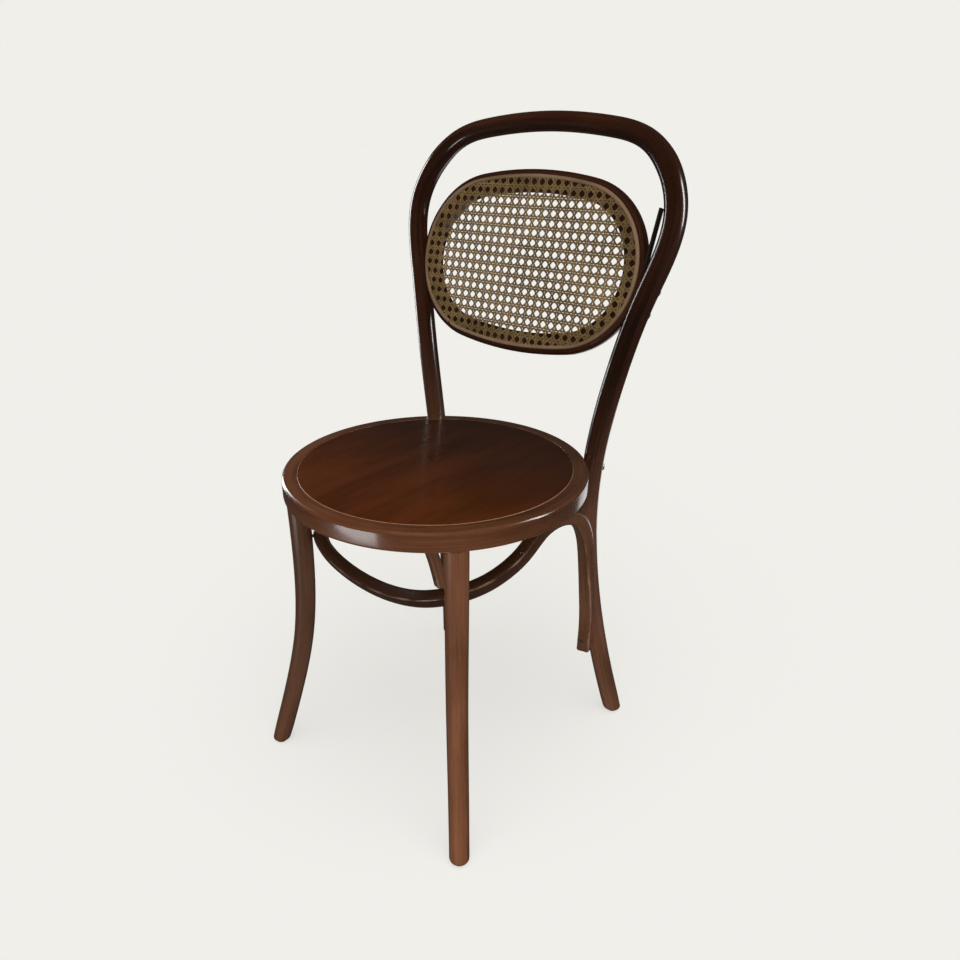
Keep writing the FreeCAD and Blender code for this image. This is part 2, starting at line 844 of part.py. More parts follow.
def make_washer(label, seat, direction):
    body = new_body(label)
    sketch = new_sketch(body, "XY_Plane")
    draw_circle(sketch, "sizes.washer_radius")
    draw_circle(sketch, "sizes.bolt_radius")
    pad(body, sketch, "sizes.washer_thickness")
    body.Placement = turned_along(seat, direction)


def make_nut(label, seat, direction):
    body = new_body(label)
    sketch = new_sketch(body, "XY_Plane")
    corners = [
        (
            f"sizes.nut_across_flats / 2 / cos(30) * cos({60 * n})",
            f"sizes.nut_across_flats / 2 / cos(30) * sin({60 * n})",
        )
        for n in range(6)
    ]
    draw_outline(sketch, corners)
    draw_circle(sketch, "sizes.bolt_radius")
    pad(body, sketch, "sizes.nut_height")
    body.Placement = turned_along(seat, direction)


def make_screws(prefix, screws):
    for name, (head, way, solid) in screws.items():
        shape = slotted(solid, head, way)
        for side, sign in SIDES.items():
            add_piece(f"{prefix}_{name}_{side}", shape if sign > 0 else mirrored(shape))


def make_glides():
    """Round glide with a nail, under each foot."""
    for pair, name in (("rear", "loop"), ("front", "leg")):
        for side, seat in zip(SIDES, glide_places(name)):
            body = new_body(f"foot_glide_{pair}_{side}")
            corners = [
                ("0", "-sizes.glide_height"),
                ("sizes.glide_radius", "-sizes.glide_height"),
                ("sizes.glide_radius", "0"),
                ("sizes.glide_nail_radius", "0"),
                ("sizes.glide_nail_radius", "sizes.glide_nail_length"),
                ("0", "sizes.glide_nail_length"),
            ]
            turned = revolve(body, corners)
            radius = size("glide_radius")
            round_rim(body, turned, radius, -size("glide_height"), "sizes.glide_round")
            body.Placement = Placement(seat, Rotation())


# Build, check and write

make_seat_frame()
make_seat_panel()
back_loop = make_back_loop()
make_front_legs()
make_hoop()
make_pin()
oval_ring = make_oval_ring()
make_reed()
make_cane()
make_packing(back_loop, oval_ring)
make_seat_bolts()
make_screws("hoop_screw", hoop_screws)
make_screws("back_screw", back_screws)
make_glides()
doc.recompute()

for item in doc.Objects:
    faults = [state for state in item.State if state in ("Invalid", "Error")]
    if faults:
        raise RuntimeError(f"{item.Name}: {faults}")

os.makedirs("parts", exist_ok=True)
pieces = [item for item in doc.Objects if item.TypeId in ("PartDesign::Body", "Part::Feature")]
for item in pieces:
    shape = item.Shape
    if shape.isNull() or not shape.isValid() or len(shape.Solids) != 1:
        raise RuntimeError(f"{item.Label}: not one valid solid")
    shape.exportStep(f"parts/{item.Label}.step")
    print(item.Label, round(shape.Volume), [round(v, 1) for v in (
        shape.BoundBox.XMin, shape.BoundBox.YMin, shape.BoundBox.ZMin,
        shape.BoundBox.XMax, shape.BoundBox.YMax, shape.BoundBox.ZMax,
    )])
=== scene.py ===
"""Bentwood bistro chair with a caned oval back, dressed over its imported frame."""
import math

import bmesh
import bpy
import numpy
from mathutils import Matrix, Quaternion, Vector


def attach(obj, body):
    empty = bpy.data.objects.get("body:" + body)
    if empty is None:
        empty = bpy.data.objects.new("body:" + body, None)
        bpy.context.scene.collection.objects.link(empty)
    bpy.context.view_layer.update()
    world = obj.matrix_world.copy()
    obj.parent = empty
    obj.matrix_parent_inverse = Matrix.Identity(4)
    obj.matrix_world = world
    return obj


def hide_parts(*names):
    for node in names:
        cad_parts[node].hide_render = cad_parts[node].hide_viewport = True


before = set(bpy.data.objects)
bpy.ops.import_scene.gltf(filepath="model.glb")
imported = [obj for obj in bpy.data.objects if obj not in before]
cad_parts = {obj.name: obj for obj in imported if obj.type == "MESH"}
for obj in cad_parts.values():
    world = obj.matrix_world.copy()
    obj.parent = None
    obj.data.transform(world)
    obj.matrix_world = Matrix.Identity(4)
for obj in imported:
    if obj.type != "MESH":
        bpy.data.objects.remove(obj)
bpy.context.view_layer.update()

# Seat frame. One rail of steam-bent beech, scarfed into a ring and rebated for the panel.
# The front legs are tenoned into its underside, and the lacquer is rubbed pale along its rims.

MM = 0.001
SEAT_BACK = -23.9
SEAT_TOP = 460.0
SEAT_RADIUS = 202.5
RAIL_BASE = 433.0
RAIL_INNER = 164.5
REBATE_RADIUS = 183.1
REBATE_FLOOR = 455.0
RAIL_TOP_ROUND = 5.0
RAIL_LOW_ROUND = 4.0
RAIL_INNER_ROUND = 1.0
REBATE_ROUND = 0.7
LEDGE_ROUND = 0.6
RAIL_PLACES = 192
CRISP_ANGLE = math.radians(50)


def rounded(corners, steps=4):
    """Points across a rod from square corners (out, up, radius, mark), each with its mark: rubbed lacquer
    on wood, painted shade on rattan.
    """
    points = []
    for index, (out, up, radius, wear_and_shade) in enumerate(corners):
        corner = Vector((out, up))
        before = (Vector(corners[index - 1][:2]) - corner).normalized()
        after = (Vector(corners[(index + 1) % len(corners)][:2]) - corner).normalized()
        if radius == 0:
            points.append((corner, 0.0))
            continue
        middle = corner + (before + after) * radius
        for step in range(steps + 1):
            turn = step / steps * math.pi / 2
            point = middle - after * radius * math.cos(turn) - before * radius * math.sin(turn)
            points.append((point, wear_and_shade * math.sin(2 * turn)))
    return points


def bend(outline, places, joined=False, sizes=None):
    """Draws an outline along a line of places, each a matrix whose X runs along the rod.

    Every corner keeps where it lay in the rod before bending, for the grain to follow.
    """
    rod = bmesh.new()
    straight = rod.verts.layers.float_vector.new("straight")
    # Each corner's mark: rubbed lacquer on wood, painted shade along rattan edges.
    worn_and_shaded = rod.verts.layers.float.new("worn_and_shaded")
    start = []
    for point, wear_and_shade in outline:
        vert = rod.verts.new(places[0] @ Vector((0, point.x * MM, point.y * MM)))
        vert[straight] = (0, point.x * MM, point.y * MM)
        vert[worn_and_shaded] = wear_and_shade
        start.append(vert)
    first = [rod.edges.new((start[index - 1], start[index])) for index in range(len(start))]
    if sizes:
        for vert in start:
            vert.co = places[0] @ (Vector(vert[straight]) * sizes[0])
    last = first
    run = 0.0
    for index in range(1, len(places)):
        run += (places[index].translation - places[index - 1].translation).length
        size = sizes[index] if sizes else 1.0
        drawn = bmesh.ops.extrude_edge_only(rod, edges=last)["geom"]
        last = [part for part in drawn if isinstance(part, bmesh.types.BMEdge) and part.is_boundary]
        for vert in {vert for edge in last for vert in edge.verts}:
            _, out, up = vert[straight]
            vert[straight] = (run, out, up)
            vert.co = places[index] @ Vector((0, out * size, up * size))
    closing = set()
    if joined:
        closing = set(bmesh.ops.bridge_loops(rod, edges=first + last)["faces"])
        run += (places[0].translation - places[-1].translation).length
    else:
        bmesh.ops.holes_fill(rod, edges=first + last, sides=len(outline))
    grain = rod.loops.layers.float_vector.new("grain")
    start = set(start)
    for face in rod.faces:
        for loop in face.loops:
            along, out, up = loop.vert[straight]
            if face in closing and loop.vert in start:
                along = run
            loop[grain] = (along, out, up)
    bmesh.ops.recalc_face_normals(rod, faces=rod.faces)
    return rod


def finished(mesh, name, material, slot, *nodes):
    """Makes a bmesh a piece of the chair, with soft curves, crisp arrises and one finish."""
    data = bpy.data.meshes.new(name)
    mesh.to_mesh(data)
    mesh.free()
    data.shade_smooth()
    data.set_sharp_from_angle(angle=CRISP_ANGLE)
    data.materials.append(material)
    piece = bpy.data.objects.new(name, data)
    bpy.context.scene.collection.objects.link(piece)
    crisp = piece.modifiers.new("flat faces stay flat", "WEIGHTED_NORMAL")
    crisp.keep_sharp = True
    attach(piece, "root")
    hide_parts(*nodes)
    return piece


def add(tree, kind, values=None, **settings):
    """Adds a shader node, sets its options, and sets or links its sockets."""
    node = tree.nodes.new(kind)
    for key, value in settings.items():
        setattr(node, key, value)
    for key, value in (values or {}).items():
        if isinstance(value, bpy.types.NodeSocket):
            tree.links.new(value, node.inputs[key])
        else:
            node.inputs[key].default_value = value
    return node


def new_group(name, takes, gives):
    """An empty shader group with named inputs and outputs, and its two end nodes."""
    group = bpy.data.node_groups.new(name, "ShaderNodeTree")
    for label, kind, value in takes:
        socket = group.interface.new_socket(label, in_out="INPUT", socket_type=kind)
        if value is not None:
            socket.default_value = value
    for label, kind in gives:
        group.interface.new_socket(label, in_out="OUTPUT", socket_type=kind)
    return group, group.nodes.new("NodeGroupInput"), group.nodes.new("NodeGroupOutput")


def scaled(tree, vector, along, across):
    """Coordinates in a rod, stretched for a pattern that runs along it."""
    return add(tree, "ShaderNodeVectorMath", {
        0: vector, 1: (along, across, across),
    }, operation="MULTIPLY").outputs[0]


def shaded(tree, colour, share):
    """A colour multiplied by one value."""
    return add(tree, "ShaderNodeVectorMath", {0: colour, 1: share}, operation="MULTIPLY").outputs[0]


def blended(tree, share, first, second):
    """A colour that goes from the first at 0 to the second at 1, each a socket or three numbers."""
    first, second = [(*end, 1) if isinstance(end, tuple) else end for end in (first, second)]
    return add(tree, "ShaderNodeMix", {
        "Factor": share, "A": first, "B": second,
    }, data_type="RGBA").outputs["Result"]


def relief(tree, shader, height, strength, distance):
    """Gives a shader the fine relief of one pattern."""
    bump = add(tree, "ShaderNodeBump", {"Height": height, "Strength": strength, "Distance": distance})
    tree.links.new(bump.outputs[0], shader.inputs["Normal"])


def unfinished(name):
    """A new material, its node tree and its shader."""
    material = bpy.data.materials.new(name)
    material.use_nodes = True
    return material, material.node_tree, material.node_tree.nodes["Principled BSDF"]


def wood_grain_group():
    """Long streaks, short dark pores and cloudy stain, from coordinates along and across a rod."""
    group, source, result = new_group(
        "wood grain",
        [("Vector", "NodeSocketVector", None), ("Seed", "NodeSocketFloat", 0.0)],
        [
            ("Streaks", "NodeSocketFloat"), ("Pores", "NodeSocketFloat"),
            ("Cloud", "NodeSocketFloat"), ("Height", "NodeSocketFloat"),
        ],
    )
    vector = source.outputs["Vector"]
    shift = add(group, "ShaderNodeCombineXYZ", {0: source.outputs["Seed"], 1: source.outputs["Seed"]})
    vector = add(group, "ShaderNodeVectorMath", {0: vector, 1: shift.outputs[0]}).outputs[0]
    fine = add(group, "ShaderNodeTexNoise", {
        "Vector": scaled(group, vector, 9, 420), "Scale": 1.0, "Detail": 5.0, "Roughness": 0.62,
    })
    broad = add(group, "ShaderNodeTexNoise", {
        "Vector": scaled(group, vector, 2.2, 70), "Scale": 1.0, "Detail": 4.0,
    })
    streaks = add(group, "ShaderNodeMix", {
        "Factor": 0.55, "A": fine.outputs["Fac"], "B": broad.outputs["Fac"],
    })
    stretched = add(group, "ShaderNodeMapRange", {
        "Value": streaks.outputs["Result"], "From Min": 0.36, "From Max": 0.64,
    })
    specks = add(group, "ShaderNodeTexNoise", {
        "Vector": scaled(group, vector, 110, 1500), "Scale": 1.0, "Detail": 2.0,
    })
    pores = add(group, "ShaderNodeMapRange", {
        "Value": specks.outputs["Fac"], "From Min": 0.60, "From Max": 0.70,
    })
    cloud = add(group, "ShaderNodeTexNoise", {
        "Vector": scaled(group, vector, 7, 22), "Scale": 1.0, "Detail": 3.0,
    })
    clouded = add(group, "ShaderNodeMapRange", {
        "Value": cloud.outputs["Fac"], "From Min": 0.35, "From Max": 0.65,
    })
    raised = add(group, "ShaderNodeMath", {
        0: stretched.outputs[0], 1: 0.6, 2: 0.4,
    }, operation="MULTIPLY_ADD")
    height = add(group, "ShaderNodeMath", {
        0: pores.outputs[0], 1: -0.5, 2: raised.outputs[0],
    }, operation="MULTIPLY_ADD")
    for label, socket in (
        ("Streaks", stretched.outputs[0]), ("Pores", pores.outputs[0]),
        ("Cloud", clouded.outputs[0]), ("Height", height.outputs[0]),
    ):
        group.links.new(socket, result.inputs[label])
    return group


def rubbed_edge_group():
    """Where lacquer is rubbed thin along an arris, broken up so that it comes and goes."""
    group, source, result = new_group(
        "rubbed edge",
        [
            ("Worn", "NodeSocketFloat", 0.0), ("Vector", "NodeSocketVector", None),
            ("Reach", "NodeSocketFloat", 0.5),
        ],
        [("Mask", "NodeSocketFloat")],
    )
    patch = add(group, "ShaderNodeTexNoise", {
        "Vector": scaled(group, source.outputs["Vector"], 28, 160), "Scale": 1.0, "Detail": 5.0,
    })
    least = add(group, "ShaderNodeMath", {0: 1.0, 1: source.outputs["Reach"]}, operation="SUBTRACT")
    total = add(group, "ShaderNodeMath", {
        0: patch.outputs["Fac"], 1: 0.9, 2: source.outputs["Worn"],
    }, operation="MULTIPLY_ADD")
    over = add(group, "ShaderNodeMath", {0: total.outputs[0], 1: least.outputs[0]}, operation="SUBTRACT")
    mask = add(group, "ShaderNodeMapRange", {
        "Value": over.outputs[0], "From Min": 0.5, "From Max": 0.9,
    })
    group.links.new(mask.outputs[0], result.inputs["Mask"])
    return group


GRAIN = wood_grain_group()
RUBBED = rubbed_edge_group()


def faded(tree, axis, low, high):
    """0 before one place on the chair's X, Y or Z and 1 beyond another."""
    place = add(tree, "ShaderNodeTexCoord")
    split = add(tree, "ShaderNodeSeparateXYZ", {0: place.outputs["Object"]})
    return add(tree, "ShaderNodeMapRange", {
        "Value": split.outputs[axis], "From Min": low, "From Max": high,
    }, interpolation_type="SMOOTHSTEP").outputs[0]


def lacquered(name, dark, light, rubbed, seed, reach=0.4, painted_shade=None, gloss=0.26, coat=0.6):
    """Stained beech under clear lacquer.

    The optional tuple (axis, low, high, dark, light) paints shade along an axis: its colours are those of
    the far, shaded end.
    """
    material, tree, shader = unfinished(name)
    bent = add(tree, "ShaderNodeAttribute", attribute_name="grain").outputs["Vector"]
    worn_and_shaded = add(tree, "ShaderNodeAttribute", attribute_name="worn_and_shaded").outputs["Fac"]
    grain = add(tree, "ShaderNodeGroup", node_tree=GRAIN)
    tree.links.new(bent, grain.inputs["Vector"])
    grain.inputs["Seed"].default_value = seed
    colour = blended(tree, grain.outputs["Streaks"], dark, light)
    # Painted shade: the colour darkens along one axis, where less light falls.
    if painted_shade:
        axis, low, high, shade_dark, shade_light = painted_shade
        shade_colour = blended(tree, grain.outputs["Streaks"], shade_dark, shade_light)
        colour = blended(tree, faded(tree, axis, low, high), colour, shade_colour)
    cloudy = add(tree, "ShaderNodeMapRange", {
        "Value": grain.outputs["Cloud"], "To Min": 0.78, "To Max": 1.18,
    })
    colour = shaded(tree, colour, cloudy.outputs[0])
    pored = add(tree, "ShaderNodeMapRange", {
        "Value": grain.outputs["Pores"], "To Min": 1.0, "To Max": 0.75,
    })
    colour = shaded(tree, colour, pored.outputs[0])
    edge = add(tree, "ShaderNodeGroup", node_tree=RUBBED)
    tree.links.new(bent, edge.inputs["Vector"])
    tree.links.new(worn_and_shaded, edge.inputs["Worn"])
    edge.inputs["Reach"].default_value = reach
    colour = blended(tree, edge.outputs["Mask"], colour, rubbed)
    tree.links.new(colour, shader.inputs["Base Color"])
    dull = add(tree, "ShaderNodeMapRange", {
        "Value": grain.outputs["Cloud"], "To Min": gloss - 0.05, "To Max": gloss + 0.08,
    })
    rough = add(tree, "ShaderNodeMath", {
        0: edge.outputs["Mask"], 1: 0.2, 2: dull.outputs[0],
    }, operation="MULTIPLY_ADD")
    tree.links.new(rough.outputs[0], shader.inputs["Roughness"])
    relief(tree, shader, grain.outputs["Height"], 0.22, 0.00009)
    shader.inputs["Specular IOR Level"].default_value = 0.5
    shader.inputs["Coat Weight"].default_value = coat
    shader.inputs["Coat Roughness"].default_value = 0.12
    return material


def ring_places(radius, height, count):
    """Places round the seat, with X along the rail and Y outwards, from the back to the back."""
    places = []
    for index in range(count):
        turn = math.pi / 2 + index / count * 2 * math.pi
        out = Vector((math.cos(turn), math.sin(turn), 0))
        along = Vector((-out.y, out.x, 0))
        spot = Vector((0, SEAT_BACK, height)) + out * radius
        axes = Matrix((along, out, Vector((0, 0, 1)))).transposed().to_4x4()
        places.append(Matrix.Translation(spot * MM) @ axes)
    return places


rail_outline = rounded([
    (RAIL_INNER - SEAT_RADIUS, RAIL_BASE - SEAT_TOP, RAIL_INNER_ROUND, 0.5),
    (0, RAIL_BASE - SEAT_TOP, RAIL_LOW_ROUND, 0.95),
    (0, 0, RAIL_TOP_ROUND, 0.55),
    (REBATE_RADIUS - SEAT_RADIUS, 0, REBATE_ROUND, 0.8),
    (REBATE_RADIUS - SEAT_RADIUS, REBATE_FLOOR - SEAT_TOP, 0, 0),
    (RAIL_INNER - SEAT_RADIUS, REBATE_FLOOR - SEAT_TOP, LEDGE_ROUND, 0.2),
])
seat_wood = lacquered(
    "seat rail lacquer", (0.055, 0.0165, 0.0052), (0.125, 0.042, 0.0155), (0.34, 0.18, 0.11), 3.0,
    # Painted shade: the rail's colour darkens towards the back of the seat.
    painted_shade=("Y", -0.16, 0.10, (0.036, 0.0125, 0.0055), (0.085, 0.031, 0.0140)),
)
seat_rail = bend(rail_outline, ring_places(SEAT_RADIUS, SEAT_TOP, RAIL_PLACES), joined=True)
finished(seat_rail, "seat_rail", seat_wood, "seat_wood", "seat_frame")

# Seat panel. A flat round of beech plywood dropped into the rebate, stained with the rail.
# Its veneer runs from front to back, and its rounded rim shows as a pale line beside the joint.

PANEL_RADIUS = 182.7
PANEL_THICK = 5.0
PANEL_ROUND = 1.2
PANEL_SIDES = 160
TOUCH = 0.02

panel = bmesh.new()
bmesh.ops.create_circle(panel, cap_ends=True, segments=PANEL_SIDES, radius=PANEL_RADIUS * MM)
bmesh.ops.translate(panel, verts=panel.verts, vec=Vector((0, SEAT_BACK, SEAT_TOP)) * MM)
lid = list(panel.faces)
sheet = bmesh.ops.extrude_face_region(panel, geom=lid)["geom"]
under = [part for part in sheet if isinstance(part, bmesh.types.BMVert)]
bmesh.ops.translate(panel, verts=under, vec=(0, 0, -PANEL_THICK * MM))
bmesh.ops.recalc_face_normals(panel, faces=panel.faces)
panel_middle = (SEAT_TOP - PANEL_THICK / 2) * MM
top_rim = [edge for edge in panel.edges if all(vert.co.z > panel_middle for vert in edge.verts)]
panel_worn = panel.verts.layers.float.new("worn_and_shaded")
eased = bmesh.ops.bevel(
    panel, geom=top_rim, offset=PANEL_ROUND * MM, segments=4, profile=0.5, affect="EDGES", material=-1,
)
for vert in eased["verts"]:
    fallen = SEAT_TOP * MM - vert.co.z
    if TOUCH * MM < fallen < (PANEL_ROUND - TOUCH) * MM:
        vert[panel_worn] = 1.0
panel_grain = panel.loops.layers.float_vector.new("grain")
for face in panel.faces:
    for loop in face.loops:
        loop[panel_grain] = (loop.vert.co.y, loop.vert.co.x, loop.vert.co.z)
panel_wood = lacquered(
    "seat panel lacquer", (0.064, 0.0125, 0.0004), (0.082, 0.0175, 0.0008), (0.24, 0.11, 0.06), 11.0,
    reach=0.5, gloss=0.30, coat=0.2,
    # Painted shade: the panel's colour darkens towards the back, under the back loop.
    painted_shade=("Y", -0.20, 0.10, (0.020, 0.0052, 0.0012), (0.029, 0.0078, 0.0020)),
)
finished(panel, "seat_panel_board", panel_wood, "seat_wood", "seat_panel")

# Front legs. Turned and tapered beech rods, steamed and swept out at the foot.
# Each is glued into the seat rail by a round tenon and stands on a nailed glide.

LEG_TOP_RADIUS = 15.2
LEG_FOOT_RADIUS = 13.4
LEG_STEP = 6.0
FOOT_ROUND = 4.0
FOOT_TURNS = 4
FOOT_BLEND = 30.0
FOOT_EASES = (0.2, 0.45, 0.7)
FOOT_RINGS = FOOT_TURNS + 1 + len(FOOT_EASES)
GLIDE_TOP = 4.0
LEG_STATIONS = [
    (184.1, -172.9, 0), (164, -150, 100), (148, -132.3, 200), (142, -124.5, 320), (142.6, -124.7, 434),
]


def stations_of(route):
    """A bent piece's stations, in mm in the chair's own frame."""
    return [Vector((out, back + SEAT_BACK, up)) for out, back, up in route]


def smooth_line(stations, spacing, first_way=None, last_way=None):
    """Points and headings, in metres, at even steps along one smooth curve through the stations."""
    spots = numpy.array(stations, float)
    gaps = numpy.linalg.norm(numpy.diff(spots, axis=0), axis=1)
    marks = numpy.concatenate([[0], numpy.cumsum(gaps)])

    def end_slope(part, at, way):
        slope = numpy.polyfit(marks[part] - marks[at], spots[part], 3)[2]
        if way is None:
            return slope
        return numpy.array(way.normalized()) * numpy.linalg.norm(slope)

    count = len(spots)
    steps = numpy.diff(spots, axis=0) / gaps[:, None]
    system = numpy.eye(count)
    wanted = numpy.zeros((count, 3))
    wanted[0] = end_slope(slice(0, 4), 0, first_way)
    wanted[-1] = end_slope(slice(count - 4, count), count - 1, last_way)
    for index in range(1, count - 1):
        before, after = gaps[index - 1], gaps[index]
        system[index, index - 1:index + 2] = (after, 2 * (before + after), before)
        wanted[index] = 3 * (after * steps[index - 1] + before * steps[index])
    slopes = numpy.linalg.solve(system, wanted)
    line = []
    for mark in numpy.linspace(0, marks[-1], max(2, round(marks[-1] / spacing)) + 1):
        index = min(int(numpy.searchsorted(marks, mark, "right")) - 1, count - 2)
        gap = gaps[index]
        share = (mark - marks[index]) / gap
        near, far = spots[index], spots[index + 1]
        rise, fall = slopes[index] * gap, slopes[index + 1] * gap
        point = (
            near * (2 * share**3 - 3 * share**2 + 1) + rise * (share**3 - 2 * share**2 + share)
            + far * (3 * share**2 - 2 * share**3) + fall * (share**3 - share**2)
        )
        way = (
            (near - far) * (6 * share**2 - 6 * share) + rise * (3 * share**2 - 4 * share + 1)
            + fall * (3 * share**2 - 2 * share)
        )
        line.append((Vector(point) * MM, Vector(way).normalized()))
    return line


def untwisted(line, lean=0.0):
    """Places along a line whose section is turned on by each bend but never twisted."""
    heading = line[0][1]
    turn = Quaternion(heading, math.radians(lean)) @ Vector((1, 0, 0)).rotation_difference(heading)
    places = []
    for point, way in line:
        turn = heading.rotation_difference(way) @ turn
        heading = way
        places.append(Matrix.Translation(point) @ turn.to_matrix().to_4x4())
    return places


def level_footed(places, radius):
    """Starts the places level just above the glide, with sizes that round the foot's edge.

    The first FOOT_RINGS places are new: they round the edge, then ease into the leg's own slant.
    """
    floor = GLIDE_TOP * MM
    kept = list(places)
    while kept[0].translation.z < floor + (FOOT_ROUND + FOOT_BLEND) * MM:
        kept.pop(0)
    start = kept[0]
    turn = start.to_quaternion()
    heading = turn @ Vector((1, 0, 0))
    upright = Vector((0, 0, 1 if heading.z > 0 else -1))
    level = heading.rotation_difference(upright) @ turn
    foot, sizes, steps = [], [], []
    for index in range(FOOT_TURNS + 1):
        angle = index / FOOT_TURNS * math.pi / 2
        steps.append((1 - math.cos(angle), math.sin(angle), 0.0))
    steps += [(1 + share * FOOT_BLEND / FOOT_ROUND, 1.0, share) for share in FOOT_EASES]
    for climb, spread, share in steps:
        height = floor + climb * FOOT_ROUND * MM
        spot = start.translation + heading * ((height - start.translation.z) / heading.z)
        eased_turn = level.slerp(turn, share)
        foot.append(Matrix.Translation(spot) @ eased_turn.to_matrix().to_4x4())
        sizes.append((radius - FOOT_ROUND * (1 - spread)) / radius)
    return foot + kept, sizes + [1.0] * len(kept)


def round_outline(radius, segments=32):
    turns = [index / segments * 2 * math.pi for index in range(segments)]
    return [(Vector((radius * math.cos(turn), radius * math.sin(turn))), 0.0) for turn in turns]


def flipped(mesh):
    """Turns a left-hand piece into its right-hand twin."""
    bmesh.ops.scale(mesh, vec=(-1, 1, 1), verts=mesh.verts)
    bmesh.ops.reverse_faces(mesh, faces=mesh.faces)
    return mesh


leg_wood = lacquered(
    "front leg lacquer", (0.105, 0.036, 0.0135), (0.190, 0.072, 0.030), (0.55, 0.45, 0.36), 23.0,
    # Painted shade: the colour darkens across the chair, so the right leg, turned from the light, is
    # darker.
    reach=0.3, gloss=0.30, painted_shade=("X", 0.10, -0.10, (0.060, 0.0235, 0.0105), (0.112, 0.046, 0.0215)),
)
for side in ("left", "right"):
    leg_line = untwisted(smooth_line(stations_of(LEG_STATIONS), LEG_STEP))
    leg_places, leg_sizes = level_footed(leg_line, LEG_FOOT_RADIUS)
    for index, place in enumerate(leg_places):
        climbed = place.translation.z / (RAIL_BASE * MM)
        leg_sizes[index] *= 1 + (LEG_TOP_RADIUS / LEG_FOOT_RADIUS - 1) * climbed
    leg = bend(round_outline(LEG_FOOT_RADIUS), leg_places, sizes=leg_sizes)
    if side == "right":
        flipped(leg)
    finished(leg, f"leg_front_{side}", leg_wood, "leg_wood", f"front_leg_{side}")

# Back loop. One beech rod 28 mm thick, bent into both rear legs, both uprights and the top bow.
# It is bolted to the seat rail. The bow is a little thinner than the rest. Its colour is painted
# darker towards the top, nearly black there, as painted shade.

LOOP_RADIUS = 14.0
LOOP_STEP = 5.0
LOOP_STATIONS = [
    (176.2, 227.6, 0), (143.9, 185.1, 222), (143.6, 163.8, 445), (166.2, 170, 581), (188.5, 184.5, 673),
    (204.7, 207.9, 769), (145.7, 230.4, 847.2), (95, 234.3, 860.2), (0, 236.3, 866.9),
]
BOLT_HEIGHT = 441.0
BOLT_SEAT_RADIUS = 6.3
BOLT_SEAT_DEPTH = 1.6
BACK_SCREW_HEIGHTS = (653.0, 681.0)
BACK_SCREW_BACK = 2.0
SCREW_HEAD_RADIUS = 4.6
SCREW_SEAT_DEPTH = 0.5
CUT_LENGTH = 20.0
BOW_THINS = (815.0, 858.0)
BOW_THINNEST = 0.88


def sunk(mesh, name, cutters):
    """Cuts round seats for screw and bolt heads, given as (head centre, outward, radius) in metres."""
    body = bpy.data.meshes.new(name)
    mesh.to_mesh(body)
    mesh.free()
    piece = bpy.data.objects.new(name, body)
    tool = bmesh.new()
    for centre, outward, radius in cutters:
        turn = Vector((0, 0, 1)).rotation_difference(outward).to_matrix().to_4x4()
        middle = Matrix.Translation(centre + outward * CUT_LENGTH * MM / 2) @ turn
        bmesh.ops.create_cone(
            tool, cap_ends=True, segments=24, radius1=radius, radius2=radius, depth=CUT_LENGTH * MM,
            matrix=middle,
        )
    tool_mesh = bpy.data.meshes.new(name + "_tool")
    tool.to_mesh(tool_mesh)
    tool.free()
    cutter = bpy.data.objects.new(name + "_tool", tool_mesh)
    for thing in (piece, cutter):
        bpy.context.scene.collection.objects.link(thing)
    cut = piece.modifiers.new("seats", "BOOLEAN")
    cut.object = cutter
    cut.solver = "EXACT"
    graph = bpy.context.evaluated_depsgraph_get()
    result = bmesh.new()
    result.from_mesh(piece.evaluated_get(graph).to_mesh())
    for thing in (piece, cutter):
        bpy.data.objects.remove(thing)
    return result


def other_side(spot):
    """The same place or direction on the chair's other side."""
    return Vector((-spot.x, spot.y, spot.z))


loop_stations = stations_of(LOOP_STATIONS)
loop_stations += [other_side(spot) for spot in loop_stations[-2::-1]]
loop_line = smooth_line(loop_stations, LOOP_STEP)


def loop_at(height):
    """Point and heading where the left upright passes one height, in metres."""
    for (low, low_way), (high, high_way) in zip(loop_line, loop_line[1:]):
        if low.z <= height * MM < high.z:
            share = (height * MM - low.z) / (high.z - low.z)
            return low.lerp(high, share), low_way.lerp(high_way, share).normalized()


loop_places, loop_sizes = level_footed(untwisted(loop_line), LOOP_RADIUS)
loop_places.reverse()
loop_places, far_sizes = level_footed(loop_places, LOOP_RADIUS)
kept_sizes = list(reversed(loop_sizes))[-(len(loop_places) - FOOT_RINGS):]
loop_sizes = far_sizes[:FOOT_RINGS] + kept_sizes
for index, place in enumerate(loop_places):
    climbed = (place.translation.z / MM - BOW_THINS[0]) / (BOW_THINS[1] - BOW_THINS[0])
    climbed = min(max(climbed, 0), 1)
    loop_sizes[index] *= 1 - (1 - BOW_THINNEST) * climbed**2 * (3 - 2 * climbed)
loop_rod = bend(round_outline(LOOP_RADIUS), loop_places, sizes=loop_sizes)
seats = []
bolt_point = loop_at(BOLT_HEIGHT)[0]
bolt_way = Vector((bolt_point.x, bolt_point.y - SEAT_BACK * MM, 0)).normalized()
bolt_head = bolt_point + bolt_way * (LOOP_RADIUS - BOLT_SEAT_DEPTH) * MM
seats.append((bolt_head, bolt_way, BOLT_SEAT_RADIUS * MM))
for height in BACK_SCREW_HEIGHTS:
    point, way = loop_at(height)
    outward = Vector((1, 0, 0))
    outward = (outward - way * outward.dot(way)).normalized()
    head = point + Vector((0, BACK_SCREW_BACK * MM, 0)) + outward * (LOOP_RADIUS - SCREW_SEAT_DEPTH) * MM
    seats.append((head, outward, SCREW_HEAD_RADIUS * MM))
seats += [(other_side(spot), other_side(way), radius) for spot, way, radius in seats]
loop_rod = sunk(loop_rod, "loop", seats)
